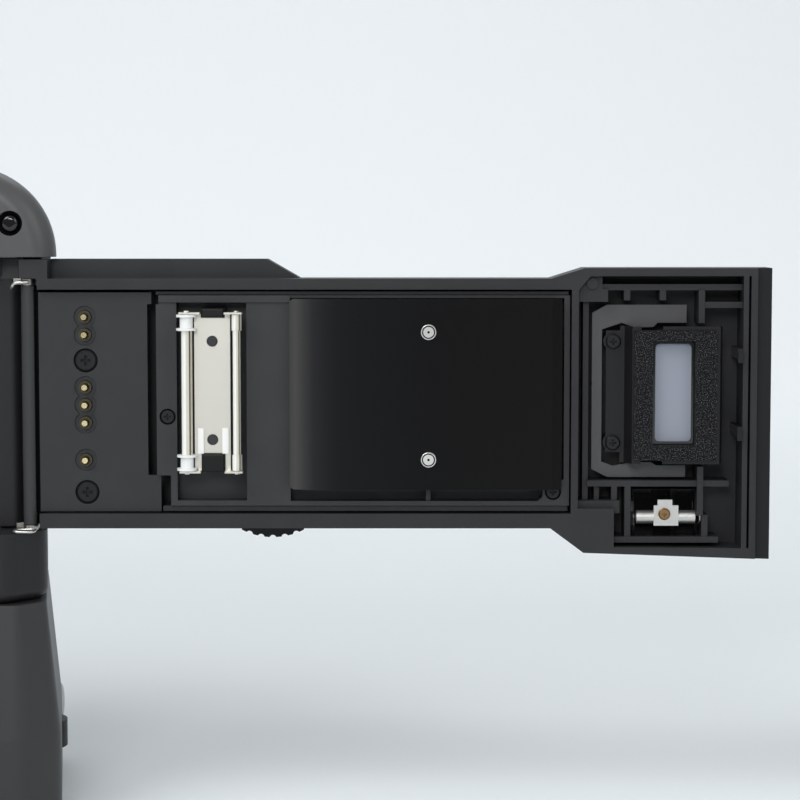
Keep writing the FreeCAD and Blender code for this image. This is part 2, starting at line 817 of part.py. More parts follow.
def make_film_guide():
    under = "-guide_out + guide_thick"
    clip_left = "(guide_left + 1.4)"
    clip_right = "(guide_right - 1.1)"
    web = [
        ("guide_left", "guide_low"),
        (clip_left, "guide_low"),
        (clip_left, "guide_low + 4"),
        (clip_right, "guide_low + 4"),
        (clip_right, "guide_low"),
        ("guide_right", "guide_low"),
        ("guide_right", "guide_top"),
        (clip_right, "guide_top"),
        (clip_right, "guide_top - 1.2"),
        (clip_left, "guide_top - 1.2"),
        (clip_left, "guide_top"),
        ("guide_left", "guide_top"),
    ]
    sheet_metal = [plate("xz", on_door(web), deep("-guide_out"), deep(under))]
    # Ears that carry the roller stubs, and two stiffening tabs.
    reach = "-roller_out - 1.4"
    for low, high in (("guide_low", "guide_low + ear_thick"), ("guide_top - ear_thick", "guide_top")):
        sheet_metal.append(door_slab(("flanged_x - 1.5", clip_left), (low, high), (reach, under)))
        sheet_metal.append(door_slab((clip_right, "plain_x + 1.2"), (low, high), (reach, under)))
    for x in (("guide_left + 0.7", "guide_left + 1.9"), ("guide_right - 1.7", "guide_right - 0.4")):
        sheet_metal.append(door_slab(x, ("16", "21.3"), ("-guide_out - 0.5", under)))
    holes = [
        door_rod("(guide_left + guide_right) / 2", z, "guide_hole_r", "-guide_out - 1", "1")
        for z in ("18.9", "39.5")
    ]
    for x in ("flanged_x", "plain_x"):
        holes.append(
            rod(
                "z",
                (across(x), deep("-roller_out")),
                "stub_r + turn_gap",
                up("guide_low - 1"),
                up("guide_top + 1"),
            )
        )
    node("roller_bracket", cut(fuse(*sheet_metal), *holes))

    def roller(x, body_r, drum_r, flanges):
        centre = (across(x), deep("-roller_out"))
        low = "(guide_low + ear_thick + slip)"
        high = "(guide_top - ear_thick - slip)"
        solids = [
            rod("z", centre, body_r, up(low), up(high)),
            rod("z", centre, drum_r, up(low), up(f"{low} + drum_tall")),
            rod("z", centre, drum_r, up(f"{high} - drum_tall"), up(high)),
            rod("z", centre, "stub_r", up("guide_low - 0.3"), up("guide_top + 0.3")),
        ]
        if flanges:
            for start in (
                low,
                f"{low} + drum_tall - flange_thick",
                f"{high} - drum_tall",
                f"{high} - flange_thick",
            ):
                solids.append(
                    rod("z", centre, "flange_r", up(start), up(f"{start} + flange_thick"))
                )
        return fuse(*solids)

    node("flanged_roller", roller("flanged_x", "flanged_r", "drum_r", True))
    node("plain_roller", roller("plain_x", "plain_r", "plain_drum_r", False))
    # Hooks that stand on the slot's floor and keep the bracket from falling out.
    clips = []
    for low, high in (
        ("guide_low + 0.1", "guide_low + 4 - slip"),
        ("guide_top - 1.2 + slip", "guide_top + 0.8"),
    ):
        hook = door_slab(
            (f"{clip_left} + slip", f"{clip_right} - slip"),
            (low, high),
            ("-guide_out - 0.2 - guide_travel", "slot_deep"),
        )
        clips.append(
            rounded(hook, "0.4", lambda c, t: c.y < num(deep("-guide_out - 0.9")) and t != "y")
        )
    node("roller_clips", group(*clips))


# ---- film back: cartridge side ----


def window_hole(low, high):
    """The hole that clears the tunnel round the film window."""
    return door_slab(
        ("tunnel_left - slip", "tunnel_right + slip"),
        ("tunnel_low - slip", "tunnel_top + slip"),
        (low, high),
    )


def make_cartridge_side():
    outline = [
        ("118.5", "12.1"),
        ("121.9", "10.4"),
        ("138.4", "10.4"),
        ("138.4", "46.9"),
        ("121.6", "46.9"),
        ("118.5", "45.2"),
    ]
    guard = plate("xz", on_door(outline), deep("guard_deep"), deep("guard_deep + guard_thick"))
    inside = [
        ("120.6", "41.7"),
        ("120.6", "13.7"),
        ("123", "12.8"),
        ("127.4", "13.6"),
        ("131.1", "13.6"),
        ("132.2", "12.9"),
        ("138.5", "12.9"),
        ("138.5", "43.1"),
        ("132.3", "43.1"),
        ("131.4", "42.2"),
        ("127.5", "42.1"),
        ("124.7", "43.1"),
    ]
    hole = plate("xz", on_door(inside), deep("guard_deep - 1"), deep("guard_deep + 2"))
    node("cartridge_guard", cut(guard, hole))
    foot = "guard_deep - spring_steel"
    bend = [
        ("121.4", foot),
        ("pad_left - 1.3", foot),
        ("pad_left", "-pad_out"),
        ("pad_right - 0.6", "-pad_out"),
        ("pad_right", "1.2"),
    ]
    under = [
        ("pad_right - 0.55", "1.3"),
        ("pad_right - 1", "-pad_out + spring_steel"),
        ("pad_left + 0.4", "-pad_out + spring_steel"),
        ("pad_left - 1", "guard_deep"),
        ("121.4", "guard_deep"),
    ]
    profile = [(across(a), deep(b)) for a, b in bend + under]
    strip = plate("xy", profile, up("pad_low"), up("pad_top"))
    notches = [
        door_slab(("119", "124.4"), ("pad_low - 1", "pad_low + 2.2"), ("-5", "9")),
        door_slab(("119", "124.4"), ("pad_top - 1", "pad_top + 1"), ("-5", "9")),
        door_slab(("128.5", "133"), ("pad_low - 1", "pad_low + 0.8"), ("-5", "9")),
        door_slab(("128.5", "133"), ("pad_top - 0.8", "pad_top + 1"), ("-5", "9")),
    ]
    node("cartridge_spring", cut(strip, window_hole("-5", "9"), *notches))
    foam = door_slab(
        ("pad_left + 0.4", "pad_right - 1.3"),
        ("pad_low + 0.9", "pad_top - 0.9"),
        ("-pad_out - foam_thick", "-pad_out"),
    )
    node("window_foam", cut(foam, window_hole("-5", "9")))
    edge = "(tunnel_wall + slip / 2)"
    pane = door_slab(
        (f"tunnel_left + {edge}", f"tunnel_right - {edge}"),
        (f"tunnel_low + {edge}", f"tunnel_top - {edge}"),
        ("tunnel_deep + 0.7", "tunnel_deep + 0.7 + glass_thick"),
    )
    node("film_window", rounded(pane, "0.9", lambda c, t: t == "y"))
    # The end spring: a clamp on its post, with a rolled leaf each side.
    low = "rib_deep - 0.1"
    clamp = door_slab(("131.6", "136.8"), ("0.3", "4.6"), (low, "rib_deep + 0.4"))
    tab = door_slab(("132.4", "135.5"), ("4.5", "5.8"), (low, "rib_deep + 0.4"))
    rolls = [
        rod("x", (deep("rib_deep + 1.4"), up("2.0")), "1.4", across(a), across(b))
        for a, b in (("128.0", "131.7"), ("136.7", "140.4"))
    ]
    node("end_spring", fuse(clamp, tab, *rolls))
    catches = []
    for z in CATCHES:
        stem = door_slab(
            ("catch_x", "catch_x + 1.0"), (f"{z} - 1.1", f"{z} + 1.1"), ("-2.2", DOOR_FLOOR)
        )
        barb = door_slab(
            ("catch_x", "catch_x + 1.0"), (f"{z} - 1.9", f"{z} + 1.1"), ("-2.7", "-1.6")
        )
        catches.append(fuse(stem, barb))
    node("latch_catches", group(*catches))


# ---- film back: outer skin ----


def make_outer_controls():
    centre = (across("dial_x"), up("dial_up"))
    seat = deep("door_deep")
    top = "door_deep + dial_base_thick"
    low = f"{top} + 0.2"
    high = f"{low} + dial_thick"
    wheel = ring("y", centre, "dial_r", "dial_bore_r + turn_gap", deep(low), deep(high))
    wheel = rounded(
        wheel, "0.8", lambda c, t: c.y > num(deep(high)) - 0.01 and t == ""
    )
    teeth = int(num("dial_teeth"))
    scallops = []
    for i in range(teeth):
        angle = 2 * math.pi * i / teeth
        place_x = f"{centre[0]} + (dial_r + scallop_r * 0.35) * {math.cos(angle):.9f}"
        place_z = f"{centre[1]} + (dial_r + scallop_r * 0.35) * {math.sin(angle):.9f}"
        scallops.append(rod("y", (place_x, place_z), "scallop_r", deep(f"{low} - 1"), deep(f"{high} + 1")))
    dish = cone("y", centre, "dial_r * 0.45", "dial_r * 0.72", deep(f"{high} - 1"), deep(f"{high} + 0.01"))
    node("control_dial", cut(wheel, dish, *scallops))
    rest = [
        ("12", "30"),
        ("44", "30"),
        ("49.5", "37"),
        ("49.5", "51"),
        ("46", "crest_up - 0.6"),
        ("12", "crest_up - 0.6"),
    ]
    bulge = plate("xz", on_door(rest), seat, deep("door_deep + 4.5"))
    bulge = rounded(bulge, "3", lambda c, t: t == "y")
    bulge = rounded(bulge, "2.4", lambda c, t: c.y > num(deep("door_deep + 4.4")))
    node("thumb_rest", bulge)


# ---- body: chassis, film path and shutter ----

BODY_LOW = "(booster_tall + base_tall + seam + 0.2)"
CHASSIS_TOP = "(top_low - 2.5)"
CASING_TOP = "(top_low - 0.2)"
BAY_LOW = up("rim_low")
BAY_TOP = up("rim_up - rim_top")


def make_chassis():
    left = "(left_x + wall + slip)"
    right = "(end_x - wall - slip)"
    front = "(front_y - wall - slip)"
    block = slab((left, right), ("seat_y", front), (BODY_LOW, CHASSIS_TOP))
    block = rounded(
        block,
        "corner - wall",
        lambda c, t: t == "z" and c.y > 0 and c.x < 0,
    )
    cartridge_low = f"{MID_Z} - 24.2"
    cartridge_high = f"{MID_Z} + 24"
    half = "cartridge_r - 0.4"
    cavities = [
        # shallow bay behind the film
        slab(("-37", "70"), ("seat_y - 1", "film_y + rail_rise"), (BAY_LOW, BAY_TOP)),
        # film gate
        slab(
            ("-gate_wide / 2", "gate_wide / 2"),
            ("seat_y", "0"),
            (f"{MID_Z} - gate_tall / 2", f"{MID_Z} + gate_tall / 2"),
        ),
        # mirror box's place
        slab(
            ("-box_half - slip", "box_half + slip"),
            ("film_y + 4", "front_y"),
            (f"{MID_Z} - 18.4", "top_low"),
        ),
        rod("z", ("cartridge_x", "cartridge_y"), "cartridge_r", cartridge_low, cartridge_high),
        slab(
            (f"cartridge_x - {half}", f"cartridge_x + {half}"),
            ("seat_y - 1", "cartridge_y"),
            (cartridge_low, cartridge_high),
        ),
        rod("z", ("spool_x", "spool_y"), "spool_bay_r", BAY_LOW, BAY_TOP),
        slab(("spool_x - 10.5", "spool_x + 10.5"), ("seat_y - 1", "spool_y"), (BAY_LOW, BAY_TOP)),
        # room for the film guide's rollers
        slab(
            (across("-plain_x - 4.5"), "spool_x"),
            ("seat_y - 1", "seat_y + 5.5"),
            (BAY_LOW, BAY_TOP),
        ),
        # seat of the contact pads
        slab(
            (across("-contact_x - 2.2"), across("-contact_x + 2.2")),
            ("seat_y - 1", "seat_y + 2"),
            (up("12"), up("47")),
        ),
        # room for the casing's jamb
        slab(
            ("jamb_x - seam", "end_x"),
            ("seat_y - 1", "jamb_y + seam"),
            (BODY_LOW, CHASSIS_TOP),
        ),
    ]
    # slots for the catches and the latch behind them
    for z in CATCHES:
        cavities.append(
            slab(
                (across("-catch_x - 1.5"), across("-catch_x + 0.4")),
                ("seat_y - 1", "seat_y + 5.5"),
                (up(f"{z} - 2.8"), up(f"{z} + 1.9")),
            )
        )
    cavities.append(
        slab((left + " - 1", f"{left} + 2.2"), ("seat_y + 1.5", "seat_y + 5.5"), (up("12"), up("46")))
    )
    # bores for the take-up spool and the rewind fork
    for x, y, low, high in (
        ("spool_x", "spool_y", f"{BAY_LOW} - 1.5", f"{BAY_TOP} + 1.5"),
        ("cartridge_x", "cartridge_y", f"{MID_Z} + 20", f"{MID_Z} + 26"),
    ):
        cavities.append(rod("z", (x, y), "2.5 + turn_gap", low, high))
    node("chassis", cut(block, *cavities, *hinge_slots()))
    rails = []
    for way in ("1", "-1"):
        near = f"{MID_Z} + {way} * (gate_tall / 2 + 1.6)"
        far = f"{MID_Z} + {way} * (gate_tall / 2 + 5.4)"
        for centre, reach, top in ((near, "34", "film_y"), (far, "36", "film_y - 0.1")):
            rails.append(
                slab(
                    (f"-{reach}", reach),
                    (top, "film_y + rail_rise"),
                    (f"{centre} - rail_tall / 2", f"{centre} + rail_tall / 2"),
                )
            )
    node("film_rails", group(*rails))


# ---- body: film transport, mirror and viewfinder ----


def clear_of_hinge(radius="4.6"):
    """The round space in which the film back's knuckle turns."""
    return rod("z", ("hinge_x", "hinge_y"), radius, "0", CASING_TOP)


def make_film_path():
    centre = ("spool_x", "spool_y")
    low = f"({BAY_LOW} + 0.6)"
    high = f"({BAY_TOP} - 0.6)"
    spool = [
        rod("z", centre, "spool_r", low, high),
        rod("z", centre, "spool_r + 1.4", low, f"{low} + 1.2"),
        rod("z", centre, "spool_r + 1.4", f"{high} - 1.2", high),
        rod("z", centre, "2.5", f"{BAY_LOW} - 1.4", f"{BAY_TOP} + 1.4"),
    ]
    # Ribs that grip the film's edge, one pair of turns of soft teeth.
    for angle in range(0, 360, 45):
        x = f"spool_x + spool_r * {math.cos(math.radians(angle)):.9f}"
        y = f"spool_y + spool_r * {math.sin(math.radians(angle)):.9f}"
        for z in (f"{MID_Z} - 15", f"{MID_Z} + 13"):
            spool.append(rod("z", (x, y), "0.6", z, f"{z} + 2"))
    node("take_up_spool", fuse(*spool))
    centre = ("cartridge_x", "cartridge_y")
    top = f"({MID_Z} + 26)"
    fork = [
        rod("z", centre, "2.5", f"{MID_Z} + 21.4", top),
        rod("z", centre, "4.6", f"{MID_Z} + 21.8", f"{MID_Z} + 23.4"),
        slab(
            ("cartridge_x - 2.6", "cartridge_x + 2.6"),
            ("cartridge_y - 0.6", "cartridge_y + 0.6"),
            (f"{MID_Z} + 17.5", f"{MID_Z} + 22"),
        ),
    ]
    node("rewind_fork", fuse(*fork))
    pads = []
    for z in CONTACTS:
        pads.append(rod("y", (across("-contact_x"), up(z)), "bush_r + 0.3", "seat_y + 0.35", "seat_y + 1"))
    block = slab(
        (across("-contact_x - 2.2"), across("-contact_x + 2.2")),
        ("seat_y + 1", "seat_y + 2"),
        (up("12"), up("47")),
    )
    node("body_contacts", fuse(block, *pads))


def make_shutter():
    frame = slab(
        ("-box_half + 0.4", "box_half - 0.4"),
        ("film_y + 4.1", "film_y + 7.6"),
        (f"{MID_Z} - 18", f"{MID_Z} + 18"),
    )
    hole = slab(
        ("-gate_wide / 2 - 0.5", "gate_wide / 2 + 0.5"),
        ("film_y", "film_y + 9"),
        (f"{MID_Z} - gate_tall / 2 - 0.5", f"{MID_Z} + gate_tall / 2 + 0.5"),
    )
    bed = slab(
        ("-gate_wide / 2 - 1.5", "gate_wide / 2 + 1.5"),
        ("film_y + 5", "film_y + 6.7"),
        (f"{MID_Z} - gate_tall / 2 - 4", f"{MID_Z} + gate_tall / 2 + 4"),
    )
    node("shutter_frame", cut(frame, hole, bed))
    blades = []
    for step in range(4):
        z = f"({MID_Z} - gate_tall / 2 - 2 + {step} * (gate_tall + 4) / 4)"
        y = f"(film_y + 5.2 + {step % 2} * 0.5)"
        blades.append(
            slab(
                ("-gate_wide / 2 - 1.2", "gate_wide / 2 + 1.2"),
                (y, f"{y} + 0.4"),
                (z, f"{z} + (gate_tall + 4) / 4 + 0.9"),
            )
        )
    node("shutter_blades", group(*blades))


MIRROR_PIVOT = ("(film_y + 11.5)", f"({MID_Z} + 15.6)")


def make_mirror_box():
    back = "film_y + 7.8"
    front = "flange_y - mount_thick - 1"
    low = f"{MID_Z} - 18.2"
    high = f"{MID_Z} + 18.2"
    shell = slab(("-box_half", "box_half"), (back, front), (low, high))
    well = slab(
        ("-box_half + 1.6", "box_half - 1.6"),
        (f"{back} + 1.2", f"{front} + 1"),
        (f"{low} + 1.4", f"{high} + 1"),
    )
    gate = slab(
        ("-gate_wide / 2 - 0.4", "gate_wide / 2 + 0.4"),
        (f"{back} - 1", f"{back} + 2"),
        (f"{MID_Z} - gate_tall / 2 - 0.4", f"{MID_Z} + gate_tall / 2 + 0.4"),
    )
    pivot = rod("x", MIRROR_PIVOT, "0.8 + turn_gap", "-box_half - 1", "box_half + 1")
    node("mirror_box", cut(shell, well, gate, pivot))
    # The mirror hangs at 45 degrees: a slanting plate drawn in the side view.
    y, z = MIRROR_PIVOT
    drop = "20.5"
    side = [
        (f"{y} - 0.55", f"{z} + 0.55"),
        (f"{y} + {drop} - 0.55", f"{z} - {drop} + 0.55"),
        (f"{y} + {drop} - 1.6", f"{z} - {drop} - 0.5"),
        (f"{y} - 1.6", f"{z} - 0.5"),
    ]
    mirror = plate("yz", side, "-box_half + 2.4", "box_half - 2.4")
    axle = rod("x", MIRROR_PIVOT, "0.8", "-box_half + 0.6", "box_half - 0.6")
    node("reflex_mirror", fuse(mirror, axle))
    screen = slab(
        ("-box_half + 2", "box_half - 2"),
        ("film_y + 11", "film_y + 39"),
        (f"{MID_Z} + 18.6", f"{MID_Z} + 20.4"),
    )
    node("focusing_screen", screen)
    low = f"({MID_Z} + 21)"
    side = [
        ("film_y + 11", low),
        ("film_y + 34", low),
        ("film_y + 35", f"{low} + 8"),
        ("film_y + 20", f"{low} + 33"),
        ("film_y + 8", f"{low} + 24"),
        ("film_y + 8", f"{low} + 12"),
    ]
    blank = plate("yz", side, "-17", "17")
    roof = [
        ("-17.1", low),
        ("17.1", low),
        ("17.1", f"{low} + 14"),
        ("1", f"{low} + 33.1"),
        ("-1", f"{low} + 33.1"),
        ("-17.1", f"{low} + 14"),
    ]
    node("pentaprism", common(blank, plate("xz", roof, "-30", "50")))


# ---- body: covers, grip, mount and controls ----


def make_casing():
    outer = slab(("left_x", "end_x"), ("seat_y", "front_y"), (BODY_LOW, CASING_TOP))
    outer = rounded(outer, "corner", lambda c, t: t == "z" and c.y > 0 and c.x < 0)
    outer = rounded(outer, "2", lambda c, t: t == "z" and c.y < 0 and c.x < 0)
    inner = slab(
        ("left_x + wall", "end_x - wall"),
        ("seat_y - 1", "front_y - wall"),
        (f"{BODY_LOW} - 1", f"{CASING_TOP} + 1"),
    )
    inner = rounded(inner, "corner - wall", lambda c, t: t == "z" and c.y > 0 and c.x < 0)
    jamb = slab(("jamb_x", "end_x"), ("seat_y", "jamb_y"), (BODY_LOW, CASING_TOP))
    jamb = rounded(jamb, "jamb_r", lambda c, t: t == "z" and c.y < num("jamb_y") and c.x > num("jamb_x"))
    boss = rod("y", ("0", MID_Z), "boss_r", "front_y - wall", "flange_y - mount_thick")
    boss = common(
        boss,
        slab(("-40", "40"), ("0", "40"), (BODY_LOW, CASING_TOP)),
    )
    corner = slab(("jamb_x", "end_x + 1"), ("seat_y - 1", "jamb_y"), (BODY_LOW, CASING_TOP))
    solid = fuse(cut(outer, inner, corner), jamb, boss)
    hole = slab(
        ("-box_half - slip", "box_half + slip"),
        ("0", "60"),
        (f"{MID_Z} - 18.4", f"{MID_Z} + 40"),
    )
    throat = rod("y", ("0", MID_Z), "throat_r + 1", "flange_y - mount_thick - 3", "60")
    release = rod("y", LENS_RELEASE, "5.2", "front_y - 2", "60")
    latch = slab(("left_x - 1", "left_x + wall + 0.1"), ("-11.9", "-9.1"), (up("23.5"), up("31.5")))
    node(
        "body_casing",
        cut(solid, hole, throat, release, latch, *hinge_slots()),
    )


HINGE_TABS = (("rim_up - 1.4", "rim_up - 0.1"), ("-0.6", "0.45"))
LENS_RELEASE = ("-37.5", f"({MID_Z} - 6)")


LATCH_Y = ("-11.6", "-9.4")


def make_latch():
    """The slider on the left end that frees the film back, with its bar inside."""
    thumb = slab(("left_x - 1.8", "left_x"), ("-13", "-7"), (up("24"), up("34")))
    thumb = rounded(thumb, "0.8", lambda c, t: c.x < num("left_x - 1.7"))
    stem = slab(("left_x - 0.5", "left_x + wall + 0.8"), LATCH_Y, (up("27"), up("31")))
    bar = slab(
        ("left_x + wall + 0.3", "left_x + wall + 1.8"), ("-12.1", "-8.9"), (up("16"), up("43"))
    )
    node("latch_slider", fuse(thumb, stem, bar))


def hinge_slots():
    """The slots that the feet of the hinge's tabs are let into."""
    slots = []
    for low, high in HINGE_TABS:
        levels = (up(f"{low} - 0.1"), up(f"{high} + 0.1"))
        slots.append(slab(("tab_x - 0.1", "hinge_x + 3"), ("seat_y - 1", "tab_y + 0.1"), levels))
        slots.append(slab(("73.9", "hinge_x + 3"), ("tab_y - 2.9", "tab_y + 0.1"), levels))
    return slots


def make_hinge():
    pin = rod("z", ("hinge_x", "hinge_y"), "pin_r", up("-0.5"), up("crest_up - 0.1"))
    solids = [pin]
    right = "hinge_x + barrel_r - 0.1"
    for low, high in HINGE_TABS:
        levels = (up(low), up(high))
        solids.append(rod("z", ("hinge_x", "hinge_y"), "barrel_r", *levels))
        solids.append(slab(("hinge_x - barrel_r", right), ("hinge_y", "tab_y"), levels))
        solids.append(slab(("tab_x", right), ("seat_y - 0.15", "tab_y"), levels))
        solids.append(slab(("74", right), ("tab_y - 2.8", "tab_y"), levels))
    node("hinge_pin", fuse(*solids))


def strap_lug(outer, inner, y, z):
    """A slotted ear that stands out at one end; inner lies within the piece that carries it."""
    out = -1 if num(outer) < num(inner) else 1
    low, high = (outer, inner) if out < 0 else (inner, outer)
    ear = slab((low, high), (f"{y} - 5", f"{y} + 5"), (z, f"{z} + 2"))
    ear = rounded(ear, "1.5", lambda c, t: t == "z")
    near = f"{outer} - {out} * 1.2"
    far = f"{outer} - {out} * 3"
    eye = (near, far) if out < 0 else (far, near)
    return cut(ear, slab(eye, (f"{y} - 3.4", f"{y} + 3.4"), (f"{z} - 1", f"{z} + 3")))


def shoulder_block(reach):
    """The top cover's main block from its back to the reach, with the right shoulder rounded off."""
    face = [
        ("left_x", "top_low"),
        ("shoulder_x", "top_low"),
        ("shoulder_x", "top_low + top_tall"),
        ("left_x", "top_low + top_tall"),
    ]
    block = plate("xz", face, "top_back", reach)
    plan = [
        ("left_x - 1", "top_back - 1"),
        (leaning("shoulder_x", "top_back - 1"), "top_back - 1"),
        (leaning("shoulder_x", f"{reach} + 1"), f"{reach} + 1"),
        ("left_x - 1", f"{reach} + 1"),
    ]
    block = common(block, plate("xy", plan, "top_low - 1", "top_low + top_tall + 1"))
    return rounded(
        block,
        "shoulder_r",
        lambda c, t: c.x > num("end_x - 8") and c.z > num("top_low + top_tall - 1") and t != "x",
    )


def make_top():
    bar = shoulder_block("front_y")
    bar = rounded(
        bar, "9", lambda c, t: t == "y" and c.x < 0 and c.z > num("top_low + 1")
    )
    bar = rounded(
        bar, "rear_round", lambda c, t: c.y < num("top_back + 0.1") and c.z > num("top_low + 0.1")
    )
    bar = rounded(
        bar,
        "3",
        lambda c, t: c.y > num("front_y - 0.1") and c.z > num("top_low + 0.1") and c.x < 0,
    )
    # The nose that reaches forward over the grip.
    plan = [
        ("grip_left + 1", "front_y - 6"),
        (leaning("shoulder_x - 0.2", "front_y - 6"), "front_y - 6"),
        (leaning("shoulder_x - 0.2", "28"), "28"),
        ("78", "39"),
        ("70", "grip_front - 1.2"),
        ("60", "41"),
        ("51", "28"),
    ]
    nose = plate("xy", plan, "top_low", "grip_top + 5")
    nose = rounded(nose, "5", lambda c, t: t == "z" and c.y > num("front_y"))
    nose = common(nose, shoulder_block("grip_front + 1"))
    slope = plate(
        "yz",
        [
            ("front_y - 6.1", "grip_top + 5.1"),
            ("60", "grip_top - 5"),
            ("60", "grip_top + 20"),
            ("front_y - 6.1", "grip_top + 20"),
        ],
        "30",
        "100",
    )
    nose = cut(nose, slope)
    nose = rounded(nose, "2.5", lambda c, t: c.z > num("grip_top - 6") and t != "z" and c.y > num("front_y"))
    # The ledge that meets the film back's upper edge.
    ledge = [
        ("end_x - 0.2", up("rim_up + 0.4")),
        ("end_x - 0.2", "top_low + 1"),
        ("left_x + 0.4", "top_low + 1"),
        ("left_x + 0.4", up("flare_up + 0.4")),
        (across("-flare_start - 0.2"), up("flare_up + 0.4")),
        (across("-waist_end"), up("rim_up + 0.4")),
    ]
    ledge = plate("xz", ledge, "top_back + 0.2", "seat_y - 0.1")
    ledge = cut(
        ledge,
        slab(
            (across("-crest_foot - 0.6"), "100"),
            ("-40", deep_closed("crest_deep - 0.5")),
            (up("rim_up - 1"), "top_low"),
        ),
        clear_of_hinge("6.7"),
    )
    solid = fuse(bar, nose, ledge, strap_lug("left_x - 3.4", "left_x + 3", "0", "top_low + 4"))
    room = [
        # prism and its eyepiece
        slab(("-18.2", "18.2"), ("film_y + 7", "front_y + 2"), ("top_low - 9", "top_low + 40")),
        slab(("-11", "11"), ("top_back - 1", "film_y + 9"), ("top_low + 17", "top_low + 40")),
        # electronics on each side
        slab(("left_x + 6", "-26"), ("top_back + 5", "front_y - 4"), ("top_low - 1", "top_low + 11")),
        slab(("26", "shoulder_x - 12"), ("top_back + 5", "front_y - 4"), ("top_low - 1", "top_low + 11")),
        rod("y", ("0", MID_Z), "boss_r + seam", "front_y - 3", "60"),
        # display
        slab(LCD_X, LCD_Y, ("top_low + top_tall - 1.6", "top_low + top_tall + 1")),
        # release button and finger wheel
        rod("z", RELEASE, "release_r + 0.3", "grip_top - 5 - button_travel", "grip_top + 9"),
        slab(("60.6", "69.4"), ("front_y + 1.3", "front_y + 13.7"), ("grip_top - 7.6", "grip_top + 9")),
        rod("x", WHEEL, "1.1", "59", "71"),
    ]
    for x in SHOULDER_BUTTONS:
        room.append(rod("y", (x, SHOULDER_Z), "button_ring_r", "top_back - 1", "top_back + 1"))
        room.append(rod("y", (x, SHOULDER_Z), "button_r + 0.2", "top_back", "top_back + 2.8 + button_travel"))
    for x in LEFT_BUTTONS:
        room.append(rod("z", (x, "-2"), "3.9", "top_low + top_tall - 3", "top_low + top_tall + 1"))
    node("top_cover", cut(solid, *room))


LCD_X = ("38", "67")
LCD_Y = ("-11", "9")
RELEASE = ("70", "35.5")
WHEEL = ("(front_y + 7.5)", "(grip_top - 1.6)")
SHOULDER_BUTTONS = ("80.9", "67.5")
SHOULDER_Z = "126"
LEFT_BUTTONS = ("-58", "-42")


def leaning(end, y):
    """The x at y of the right end, which draws in towards the lens side."""
    return f"({end} - lean * ({y} - top_back))"


def deep_closed(text):
    """The y of a depth on the film back once it is shut."""
    return f"(2 * hinge_y - {deep(text)})"


